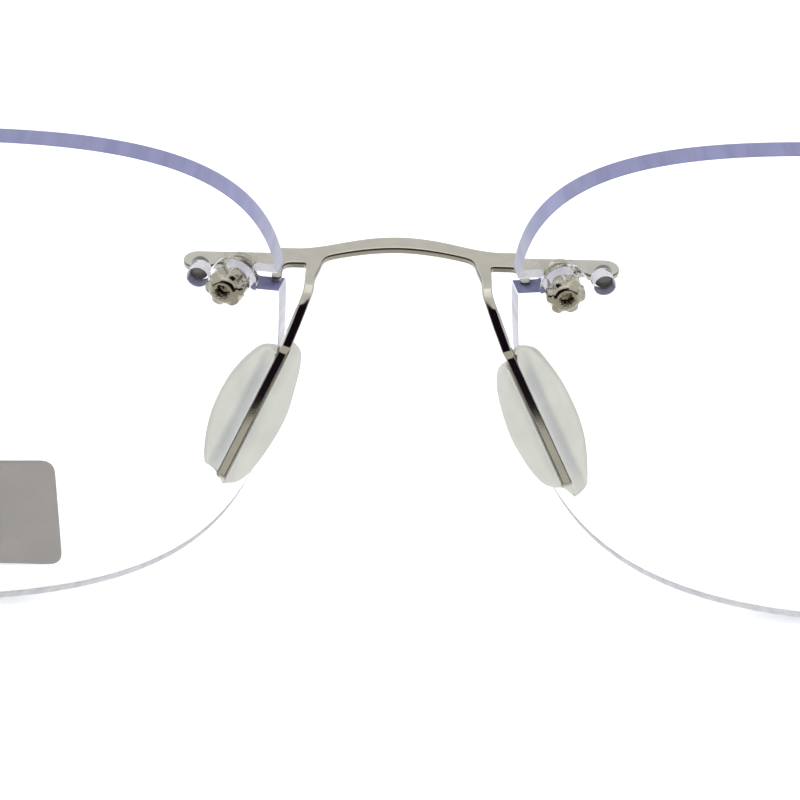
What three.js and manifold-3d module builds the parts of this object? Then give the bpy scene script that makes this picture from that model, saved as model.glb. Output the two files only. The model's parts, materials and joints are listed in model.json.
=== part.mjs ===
// Rimless eyeglasses: two drilled lenses held by a sheet-metal bridge and two endpieces, with hinged temples.
// Millimetres, +Z up, +Y the way the wearer looks, +X to the wearer's right.
// The frame is drawn round a datum on the top face of the bridge sheet, then set down on the table.
import * as THREE from 'three';
import { mergeVertices } from 'three/addons/utils/BufferGeometryUtils.js';
import Module from 'manifold-3d';

const wasm = await Module();
wasm.setup();

// ---- Driving dimensions -------------------------------------------------------------------------------------
// Lenses
const LENS_RADIUS = 115; // front surface
const LENS_THICKNESS = 1.8;
const LENS_NASAL = 26.7; // half widths and heights from the lens centre
const LENS_TEMPORAL = 26.6;
const LENS_TOP = 19.2;
const LENS_BOTTOM = 20;
const LENS_WRAP = THREE.MathUtils.degToRad(3); // each lens turned back at its outer side
const LENS_TILT = THREE.MathUtils.degToRad(8); // top of each lens leans forward
const OUTLINE_STEPS = 16; // per quarter of the outline
const LENS_RINGS = 5;

// Drillings, measured on the lens from its centre
const DRILL_V = 8.6;
const NASAL_STUD_U = -23.5;
const NASAL_PEG_U = -20.75;
const TEMPORAL_STUD_U = 22.3;
const TEMPORAL_PEG_U = 19.55;
const STUD_HOLE_RADIUS = 0.8;
const PEG_HOLE_RADIUS = 0.8;
const NOTCH_DEPTH = 2.3;
const NOTCH_BELOW = 0.75; // notch edges below and above the drilling height
const NOTCH_ABOVE = 0.9;
const NOTCH_OPENING = 3; // how far the notch cutter runs out past the edge

// The bridge is a flat sheet cut to shape, with two arms folded down to carry the nose pads
const SHEET = 0.55;
const STUD_X = 11.6; // back end of each nasal stud hole, from the bridge datum
const STUD_BACK_Y = -2.45;
const STUD_Z = -0.1;
const PLATE_END_X = 15.6;
const PLATE_FRONT_Y = 1.87;
const PLATE_STEP_X = 7.4; // where the arch has run out into the straight plate
const ARCH_FRONT_Y = 3.65;
const ARCH_REAR_Y = 2.4;
const ARM_OUTER_X = 6.6;
const ARM_INNER_X = 5.55;
const ARM_FOLD_Y = -2.6;
const RELIEF_Y = 0.22; // rear edge of the plate where it clears the stud flange
const LUG_X = 8.95;
const LUG_WIDTH = 0.66;
const LUG_END_Y = -2;
const LUG_CORNER = 0.3; // chamfers where the lug leaves the plate
const PLATE_END_SLACK = 0.13; // how far the plate's rounded end reaches behind the bridge datum
const CLEARED_X = 1.5; // half width of the room behind the plate for the stud flange
const PEG_RADIUS = 0.4;
const PEG_LENGTH = 1;
const PEG_ROOT = 0.4; // how far a peg reaches into its plate

// Pad strip: the last stretch of each folded arm, right-hand side
const STRIP_WIDTH = 0.68;
const ARM_NARROWING = 0.35; // the arm is this much narrower than its root in the sheet
const ARM_BEND = [ // places the folded arm passes on its way down to the strip
  new THREE.Vector3(6.25, -3.15, -0.06),
  new THREE.Vector3(6.35, -3.65, -0.45),
  new THREE.Vector3(6.6, -3.95, -1.15),
  new THREE.Vector3(7.3, -4.45, -2.85),
];
const ARM_STEPS = 22;
const STRIP_TOP = new THREE.Vector3(7.8, -4.8, -4);
const STRIP_BOTTOM = new THREE.Vector3(12.77, -7.4, -14.1);
const STRIP_FACE = new THREE.Vector3(-0.3, -0.8, 0.5); // roughly where the face of the strip looks

// Nose pads
// The outlines of the two wings of a pad: [along the strip from its top, out from its middle].
const PAD_WIDE = [
  [-0.1, 0.45], [0.2, 1.45], [0.75, 2], [2.2, 2.4], [3.8, 2.65], [5.6, 2.72],
  [7.4, 2.6], [9.2, 2.25], [10.9, 1.7], [12, 1.1], [12.4, 0.5]];
const PAD_NARROW = [
  [-0.1, 0.42], [0.5, 1], [1.1, 1.5], [2.4, 1.98], [4.2, 2.42], [6.2, 2.58],
  [8.2, 2.42], [9.9, 2], [10.9, 1.5], [11.6, 0.85], [12.4, 0.42]];
const PAD_STEPS = 30;
const PAD_RIDGE = 0.3; // the lips of the channel stand this far above the face of the strip
const PAD_VALLEY = 0.12;
const PAD_DROP = 0.75;
const PAD_THICKNESS = 0.8;
const PAD_ROUNDING = 1.1; // length over which each end of a pad thins out
const PAD_CLEARANCE = 0.04;

// Studs, sleeves and nuts, measured along the stud axis from the front of the lens
const STUD_RADIUS = 0.5;
const FLANGE_RADIUS = 1.15;
const FLANGE_GAP = 0.06;
const FLANGE_THICKNESS = 0.55;
const SLEEVE_OUTER = 0.74;
const SLEEVE_INNER = 0.58;
const SLEEVE_FLANGE_RADIUS = 1.7;
const SLEEVE_FLANGE = 0.55;
const NUT_RADIUS = 1.22;
const NUT_LOBE = 0.1;
const NUT_LENGTH = 1.3;
const NUT_BORE = 0.56;
const NUT_COLLAR_RADIUS = 0.82;
const NUT_COLLAR = 0.45;
const SEAT_GAP = 0.08;
const SEGMENTS = 20;

// Endpieces and hinges
const HINGE_X = 65.5;
const HINGE_Y = -9.5;
const HINGE_Z = -SHEET / 2;
const BARREL_RADIUS = 1.3;
const BARREL_HALF = 0.8;
const WASHER = 0.18;
const EAR = 0.75;
const HINGE_GAP = 0.03;
const PIN_RADIUS = 0.5;
const PIN_BORE = 0.56;
const SCREW_HEAD_RADIUS = 0.95;
const SCREW_HEAD = 0.4;
const SCREW_SLOT = 0.25;
const HINGE_ROOM = 0.1; // room round a turning barrel
const ENDPIECE_HALF_WIDTH = 0.92;
const ENDPIECE_GAP = 0.12; // between the stud flange and the endpiece
const ENDPIECE_INNER = -4.1; // along the lens from the stud
const ENDPIECE_TURN = 4.6; // along the lens from the stud, where the endpiece leaves the lens
const ENDPIECE_CORNER = new THREE.Vector3(-1.1, 6.6, 0); // from the hinge axis
const ENDPIECE_STEPS = 28;
const ENDPIECE_LUG_U = 3.1; // along the lens from the stud
const ENDPIECE_LUG_LENGTH = 3.4;
const ENDPIECE_PEG_ROOT = 0.6;
const WEB_THICKNESS = 1.2;

// Temples
const TEMPLE_STRAIGHT = 98;
const TEMPLE_THICKNESS = 0.9;
const TEMPLE_HEIGHT = 2.2;
const TEMPLE_LEAF_START = 0.4;
const TEMPLE_LEAF_LENGTH = 4; // low stretch that turns between the ears
const TEMPLE_LEAF_LAP = 0.8;
const TEMPLE_RISE = 1.6; // length over which the temple grows to its full height
const EAR_RADIUS = 28;
const EAR_ANGLE = THREE.MathUtils.degToRad(45);
const EAR_END = 26;
const TIP_START = 90;
const TIP_WIDTH = 2.3;
const TIP_WIDTH_START = 0.85; // part of the width where the tip begins
const TIP_HEIGHT = 3.6;
const TIP_HEIGHT_START = 0.72; // part of the height where the tip begins
const TIP_ROUNDING = [0.55, 0.85, 0.97]; // how far round the end of the tip each section stands
const TIP_FULLNESS = 1.06; // makes up for the flats of its many-sided section
const EAR_STEPS = 12;
const CORE_WIDTH = 0.8;
const CORE_HEIGHT = 1.5;
const CORE_END = 122;
const CORE_LAP = 2; // how far the core starts inside the bar
const CORE_CLEARANCE = 0.06;

// ---- Materials ----------------------------------------------------------------------------------------------
const material = (color, roughness, metalness) =>
  new THREE.MeshStandardMaterial({ color, roughness, metalness });

const lensClear = () => {
  const clear = material(0xe9edf2, 0.05, 0);
  clear.transparent = true;
  clear.opacity = 0.35;
  return clear;
};
const sheetMetal = () => material(0xb5b2a8, 0.35, 1);
const turnedMetal = () => material(0xa29b87, 0.3, 1);
const silicone = () => material(0xe4e4da, 0.45, 0);
const clearPlastic = () => material(0xf2f4f6, 0.1, 0);
const nylon = () => material(0xe8e6df, 0.5, 0);
const tipPlastic = () => material(0xd9d9d2, 0.35, 0);

// ---- Solids -------------------------------------------------------------------------------------------------
function toManifold(geometry) {
  const bare = geometry.clone();
  bare.deleteAttribute('normal');
  bare.deleteAttribute('uv');
  const merged = mergeVertices(bare, 1e-5);
  return new wasm.Manifold(new wasm.Mesh({
    numProp: 3,
    vertProperties: new Float32Array(merged.attributes.position.array),
    triVerts: new Uint32Array(merged.index.array),
  }));
}

function fromManifold(manifold) {
  const mesh = manifold.getMesh();
  const geometry = new THREE.BufferGeometry();
  geometry.setAttribute('position', new THREE.BufferAttribute(new Float32Array(mesh.vertProperties), 3));
  geometry.setIndex(new THREE.BufferAttribute(new Uint32Array(mesh.triVerts), 1));
  const faceted = geometry.toNonIndexed();
  faceted.computeVertexNormals();
  return faceted;
}

const join = (...geometries) =>
  fromManifold(geometries.map(toManifold).reduce((whole, next) => whole.add(next)));

const cut = (geometry, ...tools) =>
  fromManifold(tools.map(toManifold).reduce((whole, tool) => whole.subtract(tool), toManifold(geometry)));

function signedVolume(points, triangles) {
  let sum = 0;
  for (let i = 0; i < triangles.length; i += 3) {
    const [a, b, c] = [points[triangles[i]], points[triangles[i + 1]], points[triangles[i + 2]]];
    sum += a.dot(b.clone().cross(c));
  }
  return sum / 6;
}

// A closed mesh from points and triangles, turned so that its faces look outwards.
function closedMesh(points, triangles) {
  if (signedVolume(points, triangles) < 0) {
    triangles.reverse();
  }
  const geometry = new THREE.BufferGeometry().setFromPoints(points);
  geometry.setIndex(triangles);
  const faceted = geometry.toNonIndexed();
  faceted.computeVertexNormals();
  return faceted;
}

// A skin through equal closed sections, with a flat fan over each end.
function loft(sections) {
  const count = sections[0].length;
  const points = sections.flat();
  const triangles = [];
  for (let i = 0; i < sections.length - 1; i += 1) {
    for (let j = 0; j < count; j += 1) {
      const a = i * count + j;
      const b = i * count + ((j + 1) % count);
      triangles.push(a, b, a + count, b, b + count, a + count);
    }
  }
  const ends = [[sections[0], 0, true], [sections.at(-1), (sections.length - 1) * count, false]];
  for (const [section, first, flipped] of ends) {
    const hub = section.reduce((sum, p) => sum.add(p), new THREE.Vector3()).divideScalar(count);
    const centre = points.push(hub) - 1;
    for (let j = 0; j < count; j += 1) {
      const a = first + j;
      const b = first + ((j + 1) % count);
      triangles.push(centre, flipped ? b : a, flipped ? a : b);
    }
  }
  return closedMesh(points, triangles);
}

// The same solid on the wearer's other side.
function mirrored(geometry) {
  const position = geometry.attributes.position;
  const points = [];
  for (let i = 0; i < position.count; i += 1) {
    points.push(new THREE.Vector3(-position.getX(i), position.getY(i), position.getZ(i)));
  }
  return closedMesh(points, points.map((_, i) => i));
}

const onSide = (side, geometry) => (side > 0 ? geometry : mirrored(geometry));

// A flat outline in plan, given thickness upwards from a height.
function plate(outline, bottom, thickness) {
  const shape = new THREE.Shape(outline);
  const geometry = new THREE.ExtrudeGeometry(shape, { depth: thickness, bevelEnabled: false });
  return geometry.translate(0, 0, bottom);
}

// A turned piece about +Y: its profile is a closed list of [radius, height].
function turned(profile, segments = SEGMENTS) {
  const outline = [...profile, profile[0]].map(([r, y]) => new THREE.Vector2(r, y));
  const { attributes, index } = new THREE.LatheGeometry(outline, segments);
  const points = [];
  for (let i = 0; i < attributes.position.count; i += 1) {
    points.push(new THREE.Vector3().fromBufferAttribute(attributes.position, i));
  }
  const triangles = [];
  for (let i = 0; i < index.count; i += 3) {
    const [a, b, c] = index.array.slice(i, i + 3);
    const ab = points[b].clone().sub(points[a]);
    const ac = points[c].clone().sub(points[a]);
    if (ab.cross(ac).length() > 1e-9) {
      triangles.push(a, b, c);
    }
  }
  return closedMesh(points, triangles);
}

const ring = (inner, outer, low, high) => turned([[inner, low], [outer, low], [outer, high], [inner, high]]);
const rod = (radius, low, high) => turned([[0, low], [radius, low], [radius, high], [0, high]]);

// Samples of a chain of curves, each without its last point.
const sampled = (curves, steps) => curves.flatMap((curve) => curve.getPoints(steps).slice(0, -1));

const bezier = (...pairs) => new THREE.CubicBezierCurve(...pairs.map(([x, y]) => new THREE.Vector2(x, y)));

// ---- Lens ---------------------------------------------------------------------------------------------------
// Lens-local axes: +X away from the nose on the right-hand lens, +Y forwards, +Z up; the origin is the middle
// of the front surface.
const LENS_OUTLINE = sampled([
  bezier([0, LENS_TOP], [-19, LENS_TOP], [-LENS_NASAL, 18.4], [-LENS_NASAL, 5.5]),
  bezier([-LENS_NASAL, 5.5], [-LENS_NASAL, -9.5], [-20.5, -LENS_BOTTOM], [2, -LENS_BOTTOM]),
  bezier([2, -LENS_BOTTOM], [20, -LENS_BOTTOM], [LENS_TEMPORAL, -11], [LENS_TEMPORAL, 4.5]),
  bezier([LENS_TEMPORAL, 4.5], [LENS_TEMPORAL, 17.5], [18, LENS_TOP], [0, LENS_TOP]),
], OUTLINE_STEPS);

// Outward direction of the front surface over a point (u, v) of the outline's plane.
function lensNormal(u, v) {
  return new THREE.Vector3(u, Math.sqrt(LENS_RADIUS ** 2 - u * u - v * v), v).divideScalar(LENS_RADIUS);
}

// A point of the lens, a given depth behind its front surface.
function lensPoint(u, v, depth) {
  const point = lensNormal(u, v).multiplyScalar(LENS_RADIUS - depth);
  point.y -= LENS_RADIUS;
  return point;
}

function lensBlank() {
  const points = [];
  const triangles = [];
  const count = LENS_OUTLINE.length;
  const faces = [0, LENS_THICKNESS].map((depth) => {
    const centre = points.push(lensPoint(0, 0, depth)) - 1;
    for (let r = 1; r <= LENS_RINGS; r += 1) {
      for (const p of LENS_OUTLINE) {
        points.push(lensPoint((p.x * r) / LENS_RINGS, (p.y * r) / LENS_RINGS, depth));
      }
    }
    return centre;
  });
  const corner = (face, r, j) => face + 1 + (r - 1) * count + (j % count);
  const [front, back] = faces;
  for (let j = 0; j < count; j += 1) {
    triangles.push(front, corner(front, 1, j + 1), corner(front, 1, j));
    triangles.push(back, corner(back, 1, j), corner(back, 1, j + 1));
    for (let r = 1; r < LENS_RINGS; r += 1) {
      const [a, b] = [corner(front, r, j), corner(front, r, j + 1)];
      const [c, d] = [corner(front, r + 1, j), corner(front, r + 1, j + 1)];
      triangles.push(a, b, c, b, d, c);
      const [e, f] = [corner(back, r, j), corner(back, r, j + 1)];
      const [g, h] = [corner(back, r + 1, j), corner(back, r + 1, j + 1)];
      triangles.push(e, g, f, f, g, h);
    }
    const [a, b] = [corner(front, LENS_RINGS, j), corner(front, LENS_RINGS, j + 1)];
    const [c, d] = [corner(back, LENS_RINGS, j), corner(back, LENS_RINGS, j + 1)];
    triangles.push(a, b, c, b, d, c);
  }
  return closedMesh(points, triangles);
}

// Sets a geometry turned about +Y on the lens surface, so that +Y leaves the front of the lens.
function onLens(geometry, u, v) {
  const turn = new THREE.Quaternion().setFromUnitVectors(new THREE.Vector3(0, 1, 0), lensNormal(u, v));
  return geometry.applyQuaternion(turn).translate(...lensPoint(u, v, 0));
}

const drill = (radius, u) => onLens(rod(radius, -2 * LENS_THICKNESS, LENS_THICKNESS), u, DRILL_V);

function notch(side) {
  const edge = side < 0 ? -LENS_NASAL : LENS_TEMPORAL;
  const height = NOTCH_BELOW + NOTCH_ABOVE;
  const box = new THREE.BoxGeometry(NOTCH_DEPTH + NOTCH_OPENING, 6 * LENS_THICKNESS, height);
  const middle = edge - (side * (NOTCH_DEPTH - NOTCH_OPENING)) / 2;
  return box.translate(middle, lensPoint(edge, DRILL_V, 0).y, DRILL_V + NOTCH_ABOVE - height / 2);
}

function rightLens() {
  return cut(
    lensBlank(),
    drill(STUD_HOLE_RADIUS, NASAL_STUD_U),
    drill(PEG_HOLE_RADIUS, NASAL_PEG_U),
    drill(STUD_HOLE_RADIUS, TEMPORAL_STUD_U),
    drill(PEG_HOLE_RADIUS, TEMPORAL_PEG_U),
    notch(-1),
    notch(1),
  );
}

// The lens sits where its nasal stud hole meets the bridge.
const lensTurn = (side) => new THREE.Euler(-LENS_TILT, 0, -side * LENS_WRAP, 'ZXY');
const LENS_PLACE = new THREE.Vector3(STUD_X, STUD_BACK_Y, STUD_Z)
  .sub(lensPoint(NASAL_STUD_U, DRILL_V, LENS_THICKNESS).applyEuler(lensTurn(1)));
const toFrame = (point) => point.applyEuler(lensTurn(1)).add(LENS_PLACE);

// ---- Stud, sleeve and nut: stud-local, +Y forwards out of the lens, 0 at its front surface --------------------
const SLEEVE_BACK = -LENS_THICKNESS - SEAT_GAP - SLEEVE_FLANGE;
const NUT_FRONT = SLEEVE_BACK - SEAT_GAP;
const NUT_BACK = NUT_FRONT - NUT_LENGTH;

function stud() {
  const front = FLANGE_GAP + FLANGE_THICKNESS;
  const end = NUT_BACK - NUT_COLLAR / 2;
  return turned([
    [0, end], [STUD_RADIUS, end], [STUD_RADIUS, FLANGE_GAP],
    [FLANGE_RADIUS, FLANGE_GAP], [FLANGE_RADIUS, front], [0, front],
  ]);
}

function sleeve() {
  const seat = -LENS_THICKNESS - SEAT_GAP;
  return turned([
    [SLEEVE_INNER, SLEEVE_BACK], [SLEEVE_FLANGE_RADIUS, SLEEVE_BACK], [SLEEVE_FLANGE_RADIUS, seat],
    [SLEEVE_OUTER, seat], [SLEEVE_OUTER, -SEAT_GAP], [SLEEVE_INNER, -SEAT_GAP],
  ]);
}

function starNut() {
  const lobes = 6;
  const outline = [];
  for (let i = 0; i < 8 * lobes; i += 1) {
    const angle = (i * Math.PI) / (4 * lobes);
    const radius = NUT_RADIUS - NUT_LOBE + NUT_LOBE * Math.cos(lobes * angle);
    outline.push(new THREE.Vector2(radius * Math.cos(angle), radius * Math.sin(angle)));
  }
  const body = plate(outline, 0, NUT_LENGTH).rotateX(Math.PI / 2).translate(0, NUT_FRONT, 0);
  const collar = rod(NUT_COLLAR_RADIUS, NUT_BACK - NUT_COLLAR, NUT_BACK + SEAT_GAP);
  const bore = rod(NUT_BORE, NUT_BACK - 2 * NUT_COLLAR, NUT_FRONT + NUT_COLLAR);
  return cut(join(body, collar), bore);
}

// ---- Bridge -------------------------------------------------------------------------------------------------
function plateOutline() {
  const endRadius = (PLATE_FRONT_Y + PLATE_END_SLACK) / 2;
  const end = new THREE.EllipseCurve(
    PLATE_END_X - endRadius, PLATE_FRONT_Y - endRadius,
    endRadius, endRadius, Math.PI / 2, -Math.PI / 2, true);
  const front = bezier([0, ARCH_FRONT_Y], [3.2, ARCH_FRONT_Y], [5, 1.95], [PLATE_STEP_X, PLATE_FRONT_Y]);
  const inner = bezier(
    [ARM_INNER_X, -0.9], [5.3, 0.6], [4.1, ARCH_REAR_Y], [0, ARCH_REAR_Y]);
  const lugIn = LUG_X - LUG_WIDTH / 2;
  const lugOut = LUG_X + LUG_WIDTH / 2;
  const lugEnd = new THREE.EllipseCurve(
    LUG_X, LUG_END_Y + LUG_WIDTH / 2, LUG_WIDTH / 2, LUG_WIDTH / 2, 0, -Math.PI, true);
  const half = [
    ...front.getPoints(14),
    ...end.getPoints(12),
    new THREE.Vector2(STUD_X + CLEARED_X + LUG_CORNER, PLATE_FRONT_Y - 2 * endRadius),
    new THREE.Vector2(STUD_X + CLEARED_X, RELIEF_Y),
    new THREE.Vector2(lugOut + LUG_CORNER, RELIEF_Y),
    new THREE.Vector2(lugOut, RELIEF_Y - LUG_CORNER),
    ...lugEnd.getPoints(8),
    new THREE.Vector2(lugIn, -2 * LUG_CORNER),
    new THREE.Vector2(lugIn - LUG_CORNER / 3, -LUG_CORNER),
    new THREE.Vector2(lugIn - LUG_CORNER, -LUG_CORNER / 3),
    new THREE.Vector2(lugIn - 2 * LUG_CORNER, 0),
    new THREE.Vector2(ARM_OUTER_X, 0),
    new THREE.Vector2(ARM_OUTER_X, ARM_FOLD_Y),
    new THREE.Vector2(ARM_INNER_X + ARM_NARROWING, ARM_FOLD_Y),
    ...inner.getPoints(14),
  ];
  const other = half.slice(1, -1).map((p) => new THREE.Vector2(-p.x, p.y)).reverse();
  return [...half, ...other];
}

// Axes of a pad strip: along it, across it, and out of its face.
const ALONG = STRIP_BOTTOM.clone().sub(STRIP_TOP).normalize();
const ACROSS = STRIP_FACE.clone().cross(ALONG).normalize();
const OUT = ALONG.clone().cross(ACROSS).normalize();

// The folded arm of the right-hand side: its middle line, directions across it and out of it, and its width.
function armStations() {
  const rootWidth = ARM_OUTER_X - ARM_INNER_X - ARM_NARROWING;
  const root = new THREE.Vector3(ARM_OUTER_X - rootWidth / 2, ARM_FOLD_Y + LUG_CORNER, 0);
  const path = new THREE.CatmullRomCurve3([root, ...ARM_BEND, STRIP_TOP], false, 'centripetal');
  const up = new THREE.Vector3(0, 0, 1);
  const stations = [];
  for (let i = 0; i <= ARM_STEPS; i += 1) {
    const t = i / ARM_STEPS;
    const along = path.getTangent(t);
    const face = up.clone().lerp(OUT, THREE.MathUtils.smoothstep(t, 0.05, 0.65));
    const across = face.cross(along).normalize();
    const width = THREE.MathUtils.lerp(rootWidth, STRIP_WIDTH, t);
    stations.push({ place: path.getPoint(t), across, out: along.clone().cross(across).normalize(), width });
  }
  stations.push({ place: STRIP_BOTTOM.clone(), across: ACROSS, out: OUT, width: STRIP_WIDTH });
  return stations;
}

const ribbon = (stations) => loft(stations.map(({ place, across, out, width }) => {
  const half = width / 2;
  return [[-half, 0], [half, 0], [half, -SHEET], [-half, -SHEET]].map(([w, n]) =>
    place.clone().addScaledVector(across, w).addScaledVector(out, n));
}));

const PEG_X = toFrame(lensPoint(NASAL_PEG_U, DRILL_V, LENS_THICKNESS / 2)).x;
const PEG_Z = STUD_Z - 0.1;

function bridge() {
  const sheet = plate(plateOutline(), -SHEET, SHEET);
  const arm = ribbon(armStations());
  const peg = rod(PEG_RADIUS, -PEG_LENGTH, PEG_ROOT).translate(PEG_X, 0, PEG_Z);
  return join(sheet, arm, mirrored(arm), peg, mirrored(peg));
}

// ---- Nose pad -----------------------------------------------------------------------------------------------
// Height along a list of [place, height] pairs.
function between(pairs, place) {
  const next = pairs.findIndex(([at]) => at >= place);
  if (next <= 0) {
    return pairs[next === 0 ? 0 : pairs.length - 1][1];
  }
  const [[from, low], [to, high]] = [pairs[next - 1], pairs[next]];
  return THREE.MathUtils.mapLinear(place, from, to, low, high);
}

// The pads are one moulding: the wing on the wearer's right is the wider one on both.
// lensSide is the outline of the wing next to the lens, noseSide that of the other.
function pad(lensSide, noseSide) {
  const [start, end] = [lensSide[0][0], lensSide.at(-1)[0]];
  const parts = [1, 0.72, 0.45, 0.22];
  const lipPart = parts.at(-1);
  const sections = [];
  for (let i = 0; i <= PAD_STEPS; i += 1) {
    const s = THREE.MathUtils.lerp(start, end, 0.5 - 0.5 * Math.cos((Math.PI * i) / PAD_STEPS));
    const [nose, lens] = [between(noseSide, s), between(lensSide, s)];
    const fade = Math.sqrt(THREE.MathUtils.clamp((Math.min(s - start, end - s) + 0.1) / PAD_ROUNDING, 0, 1));
    const top = [
      ...parts.map((part) => [-part * nose, part]),
      ...parts.toReversed().map((part) => [part * lens, part]),
    ].map(([w, part]) => {
      const lip = part === lipPart ? PAD_RIDGE : PAD_RIDGE - PAD_VALLEY;
      return [w, (lip - PAD_DROP * part ** 1.6) * fade - SHEET * (1 - fade)];
    });
    const under = top.toReversed().map(([w]) => {
      const part = w < 0 ? -w / nose : w / lens;
      return [w * 0.96, -SHEET - PAD_THICKNESS * (1 - 0.5 * part ** 2) * fade];
    });
    const place = STRIP_TOP.clone().addScaledVector(ALONG, s);
    sections.push([...top, ...under].map(([w, n]) =>
      place.clone().addScaledVector(ACROSS, w).addScaledVector(OUT, n)));
  }
  return cut(loft(sections), slot());
}

// Room for the strip, open along the ridge of the pad.
function slot() {
  const half = STRIP_WIDTH / 2 + PAD_CLEARANCE;
  const start = STRIP_TOP.clone().addScaledVector(ALONG, -LUG_WIDTH);
  const end = STRIP_BOTTOM.clone().addScaledVector(ALONG, PAD_CLEARANCE);
  return loft([start, end].map((place) =>
    [[-half, 2], [half, 2], [half, -SHEET - PAD_CLEARANCE], [-half, -SHEET - PAD_CLEARANCE]].map(([w, n]) =>
      place.clone().addScaledVector(ACROSS, w).addScaledVector(OUT, n))));
}

// ---- Endpiece -----------------------------------------------------------------------------------------------
const STUD_FRONT = toFrame(lensPoint(TEMPORAL_STUD_U, DRILL_V, 0));
const OUTER_AXIS = lensNormal(TEMPORAL_STUD_U, DRILL_V).applyEuler(lensTurn(1)).setZ(0).normalize();
const OUTER_SIDE = new THREE.Vector3(OUTER_AXIS.y, -OUTER_AXIS.x, 0);
const PLATE_MIDDLE = FLANGE_GAP + FLANGE_THICKNESS + ENDPIECE_GAP + ENDPIECE_HALF_WIDTH;
const OUTER_TURN = Math.atan2(-OUTER_AXIS.x, OUTER_AXIS.y);

// A place beside the temporal stud: along the lens, and forwards of it.
const besideStud = (along, forwards) =>
  STUD_FRONT.clone().addScaledVector(OUTER_SIDE, along).addScaledVector(OUTER_AXIS, forwards);

function endpieceOutline() {
  const route = new THREE.CatmullRomCurve3([
    besideStud(ENDPIECE_INNER + ENDPIECE_HALF_WIDTH, PLATE_MIDDLE),
    besideStud(0, PLATE_MIDDLE),
    besideStud(ENDPIECE_TURN, PLATE_MIDDLE),
    new THREE.Vector3(HINGE_X, HINGE_Y, 0).add(ENDPIECE_CORNER),
    new THREE.Vector3(HINGE_X, HINGE_Y + BARREL_RADIUS + WEB_THICKNESS),
  ], false, 'centripetal');
  const [left, right] = [[], []];
  for (let i = 0; i <= ENDPIECE_STEPS; i += 1) {
    const place = route.getPoint(i / ENDPIECE_STEPS);
    const along = route.getTangent(i / ENDPIECE_STEPS);
    left.push(new THREE.Vector2(
      place.x - along.y * ENDPIECE_HALF_WIDTH, place.y + along.x * ENDPIECE_HALF_WIDTH));
    right.push(new THREE.Vector2(
      place.x + along.y * ENDPIECE_HALF_WIDTH, place.y - along.x * ENDPIECE_HALF_WIDTH));
  }
  const start = route.getPoint(0);
  const back = Math.atan2(-route.getTangent(0).y, -route.getTangent(0).x);
  const cap = new THREE.EllipseCurve(
    start.x, start.y, ENDPIECE_HALF_WIDTH, ENDPIECE_HALF_WIDTH, back + Math.PI / 2, back - Math.PI / 2, true);
  return [...right.reverse(), ...cap.getPoints(10).slice(1, -1), ...left];
}

const EAR_LOW = BARREL_HALF + WASHER + 2 * HINGE_GAP;

function hingeEars() {
  const forward = BARREL_RADIUS + WEB_THICKNESS + HINGE_GAP;
  const height = 2 * (EAR_LOW + EAR);
  const cheek = new THREE.BoxGeometry(2 * BARREL_RADIUS, forward, height)
    .translate(HINGE_X, HINGE_Y + forward / 2, HINGE_Z);
  const round = rod(BARREL_RADIUS, -height / 2, height / 2).rotateX(Math.PI / 2)
    .translate(HINGE_X, HINGE_Y, HINGE_Z);
  const room = rod(BARREL_RADIUS + HINGE_ROOM, -EAR_LOW, EAR_LOW).rotateX(Math.PI / 2)
    .translate(HINGE_X, HINGE_Y, HINGE_Z);
  const behind = new THREE.BoxGeometry(3 * BARREL_RADIUS, 2 * BARREL_RADIUS, 2 * EAR_LOW)
    .translate(HINGE_X, HINGE_Y - BARREL_RADIUS, HINGE_Z);
  const inside = new THREE.BoxGeometry(2 * BARREL_RADIUS, 2 * BARREL_RADIUS, 2 * EAR_LOW)
    .translate(HINGE_X - BARREL_RADIUS, HINGE_Y + HINGE_ROOM, HINGE_Z);
  const bore = rod(PIN_BORE, -height, height).rotateX(Math.PI / 2).translate(HINGE_X, HINGE_Y, HINGE_Z);
  return cut(join(cheek, round), room, behind, inside, bore);
}

function rightEndpiece() {
  const sheet = plate(endpieceOutline(), -SHEET, SHEET);
  const lug = new THREE.BoxGeometry(LUG_WIDTH, ENDPIECE_LUG_LENGTH, SHEET)
    .rotateZ(OUTER_TURN)
    .translate(...besideStud(ENDPIECE_LUG_U, PLATE_MIDDLE - ENDPIECE_LUG_LENGTH / 2).setZ(-SHEET / 2));
  const peg = rod(PEG_RADIUS, -PEG_LENGTH, ENDPIECE_PEG_ROOT)
    .rotateZ(OUTER_TURN)
    .translate(...besideStud(TEMPORAL_PEG_U - TEMPORAL_STUD_U, ENDPIECE_PEG_ROOT / 2).setZ(-SHEET / 2));
  return join(sheet, lug, peg, hingeEars());
}

// ---- Hinge pin and washers: hinge-local, origin on the hinge axis ---------------------------------------------
function hingeScrew() {
  const top = EAR_LOW + EAR + HINGE_GAP;
  const body = turned([
    [0, -EAR_LOW - EAR], [PIN_RADIUS, -EAR_LOW - EAR], [PIN_RADIUS, top],
    [SCREW_HEAD_RADIUS, top], [SCREW_HEAD_RADIUS, top + SCREW_HEAD], [0, top + SCREW_HEAD],
  ]).rotateX(Math.PI / 2);
  const groove = new THREE.BoxGeometry(3 * SCREW_HEAD_RADIUS, SCREW_SLOT, SCREW_HEAD)
    .translate(0, 0, top + SCREW_HEAD);
  return cut(body, groove);
}

const hingeWasher = (side) =>
  ring(PIN_BORE, BARREL_RADIUS - HINGE_ROOM, BARREL_HALF + HINGE_GAP, EAR_LOW - HINGE_GAP)
    .rotateX((side * Math.PI) / 2);

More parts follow.
